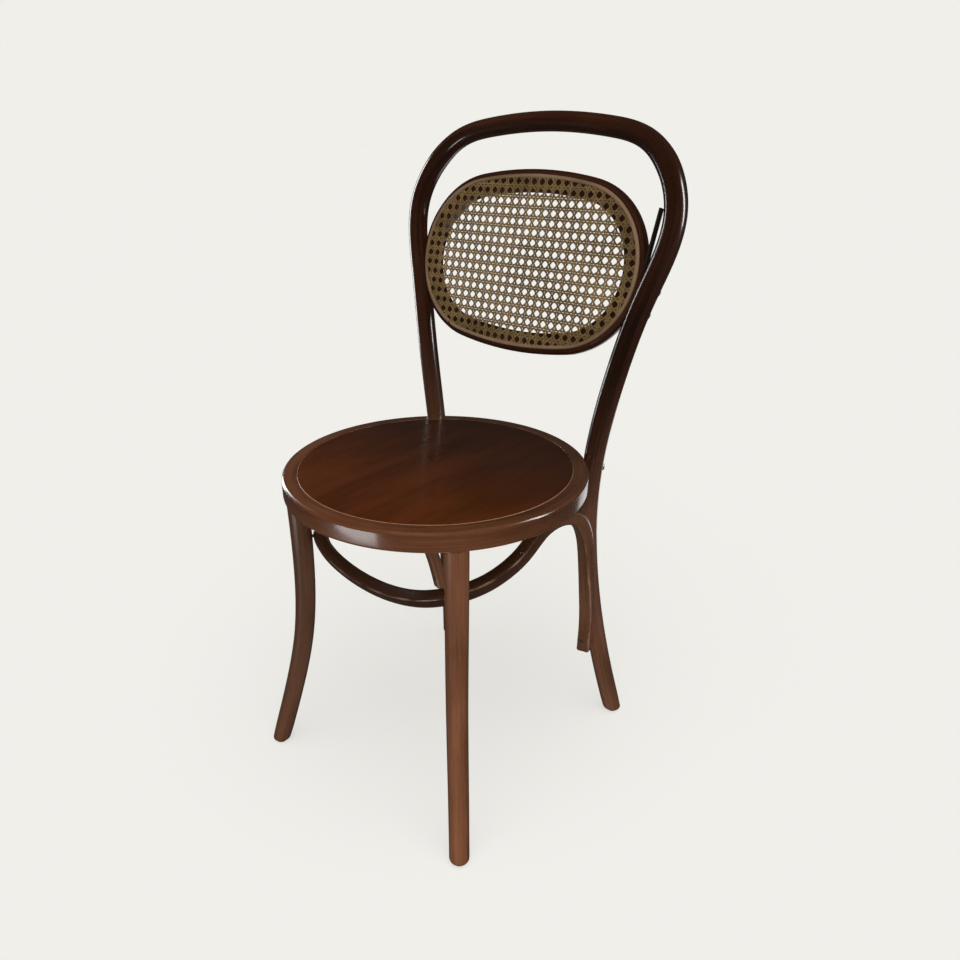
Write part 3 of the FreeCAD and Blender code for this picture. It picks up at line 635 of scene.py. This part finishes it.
back_wood = lacquered(
    "back loop lacquer", (0.085, 0.033, 0.017), (0.155, 0.064, 0.034), (0.26, 0.14, 0.09), 31.0,
    # Painted shade: the colour darkens to nearly black above the seat, towards the top of the loop.
    reach=0.2, gloss=0.22, painted_shade=("Z", 0.22, 0.62, (0.0080, 0.0020, 0.0006), (0.034, 0.0090, 0.0026)),
)
finished(loop_rod, "loop_of_the_back", back_wood, "back_wood", "back_loop")

# Under-seat hoop. One square beech rod that dips between the front legs, rises to the rail at
# each side and runs down the front of each rear leg, housed and screwed where it meets them.
# Its lower ends turn to face outwards a little, swell and are rounded off.

HOOP_WIDTH = 19.0
HOOP_STEP = 4.0
HOOP_ARRIS = 5.5
HOOP_LEAN = 30.0
HOOP_TRIM = 137.0
HOOP_ROUND = 3.5
HOOP_ROUND_SHARES = (0.15, 0.4, 1.0)
HOOP_CREST = 0.6
HOOP_TURNS = (380.0, 230.0)
HOOP_TURN = 25.0
HOOP_SWELL = 0.06
HOOP_STATIONS = [
    (0, -121, 325), (60, -120, 332), (98, -116, 344), (124, -104, 354), (140, -80, 360), (152, -49, 370),
    (164, -21, 391), (176, 1, 420), (183, 27, 427), (186, 54, 418), (182.5, 84, 387), (173, 114, 325),
    (163, 139, 258), (154, 159.5, 195), (146.5, 171, 132),
]
HOOP_REAR_SCREW = 160.5

hoop_stations = stations_of(HOOP_STATIONS)
hoop_end_way = hoop_stations[-1] - hoop_stations[-2]
hoop_line = smooth_line(hoop_stations, HOOP_STEP, Vector((1, 0, 0)), hoop_end_way)
half_square = HOOP_WIDTH / 2
hoop_outline = rounded([
    (-half_square, -half_square, HOOP_ARRIS, 0.8), (half_square, -half_square, HOOP_ARRIS, 0.8),
    (half_square, half_square, HOOP_ARRIS, 0.8), (-half_square, half_square, HOOP_ARRIS, 0.8),
], steps=5)
hoop_places, hoop_sizes = [], []
for index, place in enumerate(untwisted(hoop_line, HOOP_LEAN)):
    fallen = 0.0
    if index > len(hoop_line) * HOOP_CREST:
        fallen = (HOOP_TURNS[0] - place.translation.z / MM) / (HOOP_TURNS[0] - HOOP_TURNS[1])
        fallen = min(max(fallen, 0), 1)
    hoop_places.append(place @ Matrix.Rotation(math.radians(-HOOP_TURN * fallen), 4, "X"))
    hoop_sizes.append(1 + HOOP_SWELL * fallen)
hoop = bend(hoop_outline, hoop_places, sizes=hoop_sizes)
seam = [face for face in hoop.faces if len(face.verts) > 4 and face.calc_center_median().x < TOUCH * MM]
bmesh.ops.delete(hoop, geom=seam, context="FACES_ONLY")
everything = list(hoop.verts) + list(hoop.edges) + list(hoop.faces)
bmesh.ops.bisect_plane(
    hoop, geom=everything, plane_co=(0, 0, HOOP_TRIM * MM), plane_no=(0, 0, 1), clear_inner=True,
)
cut_end = [edge for edge in hoop.edges if edge.is_boundary and edge.verts[0].co.x > HOOP_WIDTH * MM]
bmesh.ops.holes_fill(hoop, edges=cut_end)
for share in HOOP_ROUND_SHARES:
    everything = list(hoop.verts) + list(hoop.edges) + list(hoop.faces)
    bmesh.ops.bisect_plane(
        hoop, geom=everything, plane_co=(0, 0, (HOOP_TRIM + HOOP_ROUND * share) * MM), plane_no=(0, 0, 1),
    )
end_rings = {}
for vert in hoop.verts:
    climb = vert.co.z / MM - HOOP_TRIM
    if climb < HOOP_ROUND - TOUCH:
        end_rings.setdefault(round(climb, 2), []).append(vert)
for climb, ring in end_rings.items():
    middle = sum((vert.co for vert in ring), Vector()) / len(ring)
    inset = HOOP_ROUND - math.sqrt(HOOP_ROUND**2 - (HOOP_ROUND - max(climb, 0))**2)
    for vert in ring:
        vert.co = middle + (vert.co - middle) * (1 - inset / half_square)
everything = list(hoop.verts) + list(hoop.edges) + list(hoop.faces)
bmesh.ops.mirror(hoop, geom=everything, axis="X", merge_dist=TOUCH * MM)
bmesh.ops.recalc_face_normals(hoop, faces=hoop.faces)
hoop_grain = hoop.loops.layers.float_vector["grain"]
for face in hoop.faces:
    if face.calc_center_median().x < 0:
        for loop in face.loops:
            along, out, up = loop[hoop_grain]
            loop[hoop_grain] = (-along, out, up)
low_end = min(hoop_line, key=lambda spot: abs(spot[0].z - HOOP_REAR_SCREW * MM))[0]
rear_head = low_end - Vector((0, half_square * MM, 0))
hoop = sunk(hoop, "hoop", [
    (head, Vector((0, -1, 0)), SCREW_HEAD_RADIUS * MM) for head in (rear_head, other_side(rear_head))
])
hoop_wood = lacquered(
    "hoop lacquer", (0.075, 0.028, 0.0110), (0.150, 0.060, 0.026), (0.34, 0.21, 0.14), 43.0, reach=0.34,
    # Painted shade: the front of the hoop, in the shadow under the seat, is painted darker.
    painted_shade=("Y", 0.02, -0.08, (0.020, 0.0075, 0.0035), (0.055, 0.0210, 0.0100)),
)
finished(hoop, "hoop_under_seat", hoop_wood, "leg_wood", "under_seat_hoop")

# Oval ring. A bent beech ring, half round outside and flat in front where the cane lies on it.
# A groove in its face takes the reed, and four screws from the uprights hold it.

OVAL_HALF_WIDTH = 182.3
OVAL_HALF_HEIGHT = 118.4
OVAL_SIDE_RADIUS = 112.0
OVAL_CENTRE = Vector((0, 183.0 + SEAT_BACK, 697))
OVAL_RECLINE = 13.5
RING_WIDTH = 28.0
RING_DEPTH = 18.0
RING_STEP = 4.0
RING_ROUND = 6.8
RING_INNER_ROUND = 3.0
GROOVE_OUT = 7.0
GROOVE_IN = 12.0
GROOVE_DEEP = 4.0

slope = math.radians(OVAL_RECLINE)
up_slope = Vector((0, math.sin(slope), math.cos(slope)))
forwards = Vector((0, -math.cos(slope), math.sin(slope)))
OVAL_AXES = Matrix((Vector((1, 0, 0)), up_slope, forwards)).transposed().to_4x4()
OVAL_PLACE = Matrix.Translation(OVAL_CENTRE * MM) @ OVAL_AXES
SIDE_X = OVAL_HALF_WIDTH - OVAL_SIDE_RADIUS
TOP_RADIUS = SIDE_X**2 + OVAL_HALF_HEIGHT**2 - OVAL_SIDE_RADIUS**2
TOP_RADIUS /= 2 * (OVAL_HALF_HEIGHT - OVAL_SIDE_RADIUS)
TOP_Y = OVAL_HALF_HEIGHT - TOP_RADIUS
OVAL_TURN = math.atan2(-TOP_Y, SIDE_X)


def oval_places(step):
    """Places round the oval with X along it, Y outwards and Z forwards, from low on the left."""
    arcs = [
        (Vector((SIDE_X, 0, 0)), OVAL_SIDE_RADIUS, -OVAL_TURN, OVAL_TURN),
        (Vector((0, TOP_Y, 0)), TOP_RADIUS, OVAL_TURN, math.pi - OVAL_TURN),
        (Vector((-SIDE_X, 0, 0)), OVAL_SIDE_RADIUS, math.pi - OVAL_TURN, math.pi + OVAL_TURN),
        (Vector((0, -TOP_Y, 0)), TOP_RADIUS, math.pi + OVAL_TURN, 2 * math.pi - OVAL_TURN),
    ]
    places = []
    for centre, radius, first, last in arcs:
        count = round((last - first) * radius / step)
        for index in range(count):
            turn = first + index / count * (last - first)
            out = Vector((math.cos(turn), math.sin(turn), 0))
            along = Vector((-out.y, out.x, 0))
            axes = Matrix((along, out, Vector((0, 0, 1)))).transposed().to_4x4()
            places.append(OVAL_PLACE @ Matrix.Translation((centre + out * radius) * MM) @ axes)
    return places


ring_outline = rounded([
    (0, 0, RING_ROUND, 0.2), (-GROOVE_OUT, 0, 0, 0), (-GROOVE_OUT, -GROOVE_DEEP, 0, 0),
    (-GROOVE_IN, -GROOVE_DEEP, 0, 0), (-GROOVE_IN, 0, 0, 0), (-RING_WIDTH, 0, 0, 0),
    (-RING_WIDTH, -RING_DEPTH, RING_INNER_ROUND, 0.6), (0, -RING_DEPTH, RING_ROUND, 0.5),
], steps=6)
ring_wood = lacquered(
    # Painted shade: the ring takes the back loop's near-black top colour, darker than the wood below.
    "oval ring lacquer", (0.0085, 0.0024, 0.0008), (0.036, 0.0105, 0.0034), (0.20, 0.10, 0.06), 57.0,
    reach=0.15, gloss=0.22,
)
ring = bend(ring_outline, oval_places(RING_STEP), joined=True)
finished(ring, "oval_ring", ring_wood, "back_wood", "back_oval_ring")

# Cane. Split rattan woven six ways: uprights and crosswise strands in pairs, and two slanting
# ways that lock them between the holes. Its edge is driven into the ring's groove under the reed.

PITCH = 12.7
PAIR = 1.32
STRAND_HALF_WIDTH = 1.0
STRAND_HALF_THICK = 0.23
STRAND_EDGE = -0.04
STRAND_SHIFTS = (0.37, 0.011)
CANE_MIDDLE = 0.72
CANE_EDGE = 9.2
FEWEST_SPOTS = 4
COLUMNS = 15
ROWS = 10
SLANTS = 25


def inside_oval(across, up, inset):
    """Whether a point of the oval's face lies within its outline drawn in by inset."""
    across, up = abs(across), abs(up)
    if math.atan2(up, across - SIDE_X) < OVAL_TURN:
        return math.hypot(across - SIDE_X, up) < OVAL_SIDE_RADIUS - inset
    return math.hypot(across, up - TOP_Y) < TOP_RADIUS - inset


def strand(cane, weave, heading, offset, number):
    """Draws one strand through the weave, from edge to edge of the oval.

    Its number moves its grain, so that no two strands are marked alike.
    """
    side = Vector((-heading.y, heading.x, 0))
    spots = []
    for along, lift in weave:
        spot = heading * along + side * offset
        if inside_oval(spot.x, spot.y, CANE_EDGE):
            spots.append(spot + Vector((0, 0, CANE_MIDDLE + lift)))
    if len(spots) < FEWEST_SPOTS:
        return
    places = []
    for index, spot in enumerate(spots):
        ahead = spots[min(index + 1, len(spots) - 1)] - spots[max(index - 1, 0)]
        ahead.normalize()
        over = ahead.cross(side)
        axes = Matrix((ahead, side, over)).transposed().to_4x4()
        places.append(OVAL_PLACE @ Matrix.Translation(spot * MM) @ axes)
    # The marks of 1.0 on the strand's edges are painted shade, darkened in the rattan material.
    outline = [
        (Vector((STRAND_HALF_WIDTH, STRAND_EDGE)), 1.0), (Vector((0, STRAND_HALF_THICK)), 0.0),
        (Vector((-STRAND_HALF_WIDTH, STRAND_EDGE)), 1.0), (Vector((0, -STRAND_HALF_THICK)), 0.0),
    ]
    drawn = bend(outline, places)
    drawn_grain = drawn.loops.layers.float_vector["grain"]
    for face in drawn.faces:
        for loop in face.loops:
            along, out, up = loop[drawn_grain]
            loop[drawn_grain] = (along + number * STRAND_SHIFTS[0], out + number * STRAND_SHIFTS[1], up)
    part = bpy.data.meshes.new("strand")
    drawn.to_mesh(part)
    drawn.free()
    cane.from_mesh(part)
    bpy.data.meshes.remove(part)


def repeated(pattern, reach):
    """One repeat of a weave, (share of the pitch, lift), laid end to end both ways."""
    return [
        ((cell + share) * PITCH, lift) for cell in range(-reach, reach + 1) for share, lift in pattern
    ]


cane = bmesh.new()
RISE = 0.24
straight_over = [
    (0.0, 0.0), (0.22, 0.0), (0.34, RISE), (0.43, RISE), (0.57, -RISE), (0.66, -RISE), (0.78, 0.0),
]
straight_under = [(share, -lift) for share, lift in straight_over]
number = 0
for cell in range(-COLUMNS, COLUMNS):
    for pair, pattern in ((-PAIR, straight_over), (PAIR, straight_under)):
        number += 1
        strand(cane, repeated(pattern, ROWS), Vector((0, 1, 0)), (cell + 0.5) * PITCH + pair, number)
for cell in range(-ROWS, ROWS):
    for pair, pattern in ((-PAIR, straight_under), (PAIR, straight_over)):
        number += 1
        strand(cane, repeated(pattern, COLUMNS + 1), Vector((1, 0, 0)), (cell + 0.5) * PITCH + pair, number)
CROSS = 0.44
CROSS_HALF = 2.4
for heading, sign in ((Vector((1, 1, 0)), 1), (Vector((1, -1, 0)), -1)):
    heading.normalize()
    for cell in range(-SLANTS, SLANTS):
        number += 1
        shift = (cell + 0.5) * PITCH * math.sqrt(0.5)
        start = 0.25 if cell % 2 == 0 else 0.75
        slanting = []
        for step in range(-2 * SLANTS, 2 * SLANTS):
            level = (CROSS if step % 2 == 0 else -CROSS) * sign
            middle = (step * 0.5 + start) * PITCH * math.sqrt(2)
            slanting += [(middle - CROSS_HALF, level), (middle + CROSS_HALF, level)]
        strand(cane, slanting, heading, shift, number)
bmesh.ops.recalc_face_normals(cane, faces=cane.faces)


def rattan(name, dark, light, seed, gloss):
    """Split rattan: fine long fibres and browned patches under its own hard skin."""
    material, tree, shader = unfinished(name)
    along = add(tree, "ShaderNodeAttribute", attribute_name="grain").outputs["Vector"]
    worn_and_shaded = add(tree, "ShaderNodeAttribute", attribute_name="worn_and_shaded").outputs["Fac"]
    fibre = add(tree, "ShaderNodeTexNoise", {
        "Vector": scaled(tree, along, 30, 2600), "Scale": 1.0, "Detail": 3.0,
    })
    tone = add(tree, "ShaderNodeTexNoise", {
        "Vector": scaled(tree, along, 7, 60), "Scale": 1.0, "Detail": 3.0,
    })
    patch = add(tree, "ShaderNodeTexCoord")
    stain = add(tree, "ShaderNodeTexNoise", {
        "Vector": patch.outputs["Object"], "Scale": 16.0 + seed, "Detail": 3.0,
    })
    mixed = add(tree, "ShaderNodeMath", {0: fibre.outputs["Fac"], 1: tone.outputs["Fac"]})
    mixed = add(tree, "ShaderNodeMath", {0: mixed.outputs[0], 1: stain.outputs["Fac"]})
    share = add(tree, "ShaderNodeMapRange", {
        "Value": mixed.outputs[0], "From Min": 1.15, "From Max": 1.85,
    })
    colour = blended(tree, share.outputs[0], dark, light)
    # Painted shade and light: each strand is darkened along its edges and lightened along its crown.
    shade = add(tree, "ShaderNodeMapRange", {"Value": worn_and_shaded, "To Min": 1.15, "To Max": 0.35})
    colour = shaded(tree, colour, shade.outputs[0])
    tree.links.new(colour, shader.inputs["Base Color"])
    dull = add(tree, "ShaderNodeMapRange", {
        "Value": tone.outputs["Fac"], "From Min": 0.3, "From Max": 0.7,
        "To Min": gloss, "To Max": gloss + 0.2,
    })
    tree.links.new(dull.outputs[0], shader.inputs["Roughness"])
    relief(tree, shader, fibre.outputs["Fac"], 0.4, 0.0001)
    return material


cane_skin = rattan("woven cane", (0.080, 0.046, 0.013), (0.225, 0.140, 0.052), 0.0, 0.42)
finished(cane, "woven_cane", cane_skin, "cane", "cane_sheet")

# Reed. A rattan spline hammered into the groove over the cane's edge, butted low on the oval.
# Its skin is smoother and pinker than the cane's.

REED_PROUD = 1.6
REED_CROWN = 1.4
REED_CLEAR = 0.05
REED_SEAM = 0.79
reed_out = -GROOVE_OUT - REED_CLEAR
reed_in = -GROOVE_IN + REED_CLEAR
# The 0.3 marks on the crown's rounds are painted shade, darkened a little in the rattan material.
reed_outline = rounded([
    (reed_out, REED_PROUD, REED_CROWN, 0.3), (reed_in, REED_PROUD, REED_CROWN, 0.3),
    (reed_in, -GROOVE_DEEP, 0, 0), (reed_out, -GROOVE_DEEP, 0, 0),
])
reed_line = oval_places(RING_STEP)
seam_spot = round(len(reed_line) * REED_SEAM)
reed_line = reed_line[seam_spot:] + reed_line[:seam_spot]
reed_skin = rattan("reed", (0.105, 0.060, 0.031), (0.185, 0.113, 0.064), 5.0, 0.36)
finished(bend(reed_outline, reed_line), "reed_spline", reed_skin, "reed", "cane_reed")

# Packing. A thin slip of wood driven between the oval ring and the left upright, to take up a
# gap. It keeps its sawn edges and stands clear at its top. Its near-black colour is painted shade.


def dressed(material, *names):
    """Gives solids that already have the right shape their finish."""
    for name in names:
        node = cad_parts[name]
        node.data.materials.clear()
        node.data.materials.append(material)


def plain_wood(name, dark, light):
    """Small offcut in the given colours: grain up its length, matt and uneven."""
    material, tree, shader = unfinished(name)
    place = add(tree, "ShaderNodeTexCoord")
    turned = add(tree, "ShaderNodeMapping", {
        "Vector": place.outputs["Object"], "Rotation": (0, math.pi / 2, 0),
    })
    grain = add(tree, "ShaderNodeGroup", node_tree=GRAIN)
    tree.links.new(turned.outputs[0], grain.inputs["Vector"])
    colour = blended(tree, grain.outputs["Streaks"], dark, light)
    tree.links.new(colour, shader.inputs["Base Color"])
    rough = add(tree, "ShaderNodeMapRange", {
        "Value": grain.outputs["Cloud"], "To Min": 0.5, "To Max": 0.7,
    })
    tree.links.new(rough.outputs[0], shader.inputs["Roughness"])
    relief(tree, shader, grain.outputs["Height"], 0.5, 0.0001)
    return material


# Painted shade: the slip is coloured nearly black for the shadow in the gap where it sits.
dressed(plain_wood("packing slip", (0.006, 0.0035, 0.0025), (0.018, 0.010, 0.007)), "back_packing")

# Fastenings. Zinc-plated steel bolts with their washers and nuts hold the loop to the seat
# rail, and slotted wood screws hold the hoop and the oval ring. One bright pin sits in the hoop.


def steel(name, dark, bright, metal, rough_least):
    """Plated steel, mottled, with fine scratches that dull it."""
    material, tree, shader = unfinished(name)
    place = add(tree, "ShaderNodeTexCoord")
    mottle = add(tree, "ShaderNodeTexNoise", {
        "Vector": place.outputs["Object"], "Scale": 420.0, "Detail": 4.0,
    })
    drawn = add(tree, "ShaderNodeTexNoise", {
        "Vector": scaled(tree, place.outputs["Object"], 200, 2600), "Scale": 1.0, "Detail": 2.0,
    })
    colour = blended(tree, mottle.outputs["Fac"], dark, bright)
    tree.links.new(colour, shader.inputs["Base Color"])
    rough = add(tree, "ShaderNodeMapRange", {
        "Value": drawn.outputs["Fac"], "To Min": rough_least, "To Max": rough_least + 0.25,
    })
    tree.links.new(rough.outputs[0], shader.inputs["Roughness"])
    relief(tree, shader, drawn.outputs["Fac"], 0.3, 0.00005)
    shader.inputs["Metallic"].default_value = metal
    return material


bolt_steel = steel("plated bolt steel", (0.32, 0.30, 0.27), (0.72, 0.70, 0.66), 1.0, 0.25)
screw_steel = steel("browned screw steel", (0.06, 0.035, 0.022), (0.30, 0.21, 0.15), 0.8, 0.35)
for side in ("left", "right"):
    dressed(bolt_steel, f"seat_bolt_{side}", f"seat_washer_{side}", f"seat_nut_{side}")
    dressed(screw_steel, f"hoop_screw_front_{side}", f"hoop_screw_ring_{side}", f"hoop_screw_rear_{side}")
    dressed(screw_steel, f"back_screw_lower_{side}", f"back_screw_upper_{side}")
dressed(bolt_steel, "hoop_pin")

# Glides. Hard plastic studs nailed under the feet, scuffed by the floor.


def scuffed_plastic(name, dark, light):
    """Dark plastic with pale, rougher scuffs."""
    material, tree, shader = unfinished(name)
    place = add(tree, "ShaderNodeTexCoord")
    scuffs = add(tree, "ShaderNodeTexNoise", {
        "Vector": place.outputs["Object"], "Scale": 700.0, "Detail": 5.0, "Distortion": 1.5,
    })
    share = add(tree, "ShaderNodeMapRange", {
        "Value": scuffs.outputs["Fac"], "From Min": 0.45, "From Max": 0.7,
    })
    colour = blended(tree, share.outputs[0], dark, light)
    tree.links.new(colour, shader.inputs["Base Color"])
    rough = add(tree, "ShaderNodeMapRange", {"Value": share.outputs[0], "To Min": 0.42, "To Max": 0.75})
    tree.links.new(rough.outputs[0], shader.inputs["Roughness"])
    relief(tree, shader, scuffs.outputs["Fac"], 0.4, 0.0001)
    return material


glide_plastic = scuffed_plastic("glide plastic", (0.018, 0.013, 0.010), (0.11, 0.09, 0.075))
for end in ("front", "rear"):
    for side in ("left", "right"):
        dressed(glide_plastic, f"foot_glide_{end}_{side}")

# Studio. A pale floor without an edge glows, so that shadows stay faint. The light is even, and
# windows show only as streaks in the lacquer. The camera stands where the photograph was taken.

PALE = (0.871, 0.863, 0.823)
FLOOR_RADIUS = 40.0
FLOOR_GLOW = 0.7

floor = bmesh.new()
bmesh.ops.create_circle(floor, cap_ends=True, segments=64, radius=FLOOR_RADIUS)
floor_mesh = bpy.data.meshes.new("floor")
floor.to_mesh(floor_mesh)
floor.free()
floor_object = bpy.data.objects.new("floor", floor_mesh)
bpy.context.scene.collection.objects.link(floor_object)
paint, _, paint_shader = unfinished("pale floor")
paint_shader.inputs["Base Color"].default_value = (0.248, 0.245, 0.236, 1)
paint_shader.inputs["Emission Color"].default_value = (*PALE, 1)
paint_shader.inputs["Emission Strength"].default_value = FLOOR_GLOW
paint_shader.inputs["Roughness"].default_value = 1.0
paint_shader.inputs["Specular IOR Level"].default_value = 0.0
floor_mesh.materials.append(paint)
floor_object.visible_glossy = False

world = bpy.data.worlds.new("studio air")
bpy.context.scene.world = world
world.use_nodes = True
air = world.node_tree
backdrop = air.nodes["Background"]
backdrop.inputs["Color"].default_value = (*PALE, 1)
backdrop.inputs["Strength"].default_value = 1.0
seen = add(air, "ShaderNodeLightPath")
dimmed = add(air, "ShaderNodeMapRange", {
    "Value": seen.outputs["Is Glossy Ray"], "To Min": 0.10, "To Max": 0.035,
})
room = add(air, "ShaderNodeBackground", {"Color": (1.0, 0.98, 0.95, 1), "Strength": dimmed.outputs[0]})
both = add(air, "ShaderNodeMixShader", {
    0: seen.outputs["Is Camera Ray"], 1: room.outputs[0], 2: backdrop.outputs[0],
})
air.links.new(both.outputs[0], air.nodes["World Output"].inputs["Surface"])


def light(name, kind, strength, spot, aim, **settings):
    """A lamp at one spot that points at another."""
    lamp = bpy.data.lights.new(name, kind)
    lamp.energy = strength
    for key, value in settings.items():
        setattr(lamp, key, value)
    holder = bpy.data.objects.new(name, lamp)
    bpy.context.scene.collection.objects.link(holder)
    holder.location = spot
    holder.rotation_euler = (Vector(aim) - Vector(spot)).to_track_quat("-Z", "Y").to_euler()
    return holder


ceiling = light("ceiling", "SUN", 2.69, spot=(0.9, -0.9, 3.0), aim=(0, 0, 0), angle=math.radians(70))
fill = light(
    "fill", "SUN", 1.30, spot=(1.0, -1.15, 0.7), aim=(0, 0, 0), angle=math.radians(40), use_shadow=False,
)
for even in (ceiling, fill):
    even.visible_glossy = False
left_window = light(
    "left window", "AREA", 20, spot=(-2.3, 0.2, 0.8), aim=(0, 0, 0.5),
    shape="RECTANGLE", size=0.5, size_y=1.6,
)
right_window = light(
    "right window", "AREA", 26, spot=(1.9, 1.0, 1.5), aim=(0, 0, 0.6),
    shape="RECTANGLE", size=0.4, size_y=1.5,
)
rear_sheen = light(
    "window on the floor, rear", "AREA", 1.2, spot=(-0.05, 1.05, 0.01), aim=(-0.05, 1.05, 2),
    shape="RECTANGLE", size=0.7, size_y=0.5,
)
front_sheen = light(
    "window on the floor, front", "AREA", 4, spot=(-0.25, -1.15, 0.01), aim=(-0.25, -1.15, 2),
    shape="RECTANGLE", size=0.6, size_y=0.3,
)
for window in (left_window, right_window, rear_sheen, front_sheen):
    window.visible_diffuse = False
    window.visible_camera = False

EYE = (0.6711, -0.7628, 0.8660)
LENS_LENGTH = 30.21
LENS_SHIFT = (0.0300, 0.0496)
YAW = math.radians(41.1)
PITCH_DOWN = math.radians(26.66)
ROLL = math.radians(-0.72)
ahead = Vector((
    -math.sin(YAW) * math.cos(PITCH_DOWN), math.cos(YAW) * math.cos(PITCH_DOWN), -math.sin(PITCH_DOWN),
))
level_right = Vector((math.cos(YAW), math.sin(YAW), 0))
level_up = level_right.cross(ahead)
camera_right = level_right * math.cos(ROLL) + level_up * math.sin(ROLL)
camera_up = level_up * math.cos(ROLL) - level_right * math.sin(ROLL)
lens = bpy.data.cameras.new("camera")
lens.sensor_width = 36.0
lens.lens = LENS_LENGTH
lens.shift_x, lens.shift_y = LENS_SHIFT
camera = bpy.data.objects.new("camera", lens)
bpy.context.scene.collection.objects.link(camera)
camera_axes = Matrix((camera_right, camera_up, -ahead)).transposed().to_4x4()
camera.matrix_world = Matrix.Translation(EYE) @ camera_axes
bpy.context.scene.camera = camera
bpy.context.scene.view_settings.view_transform = "Standard"
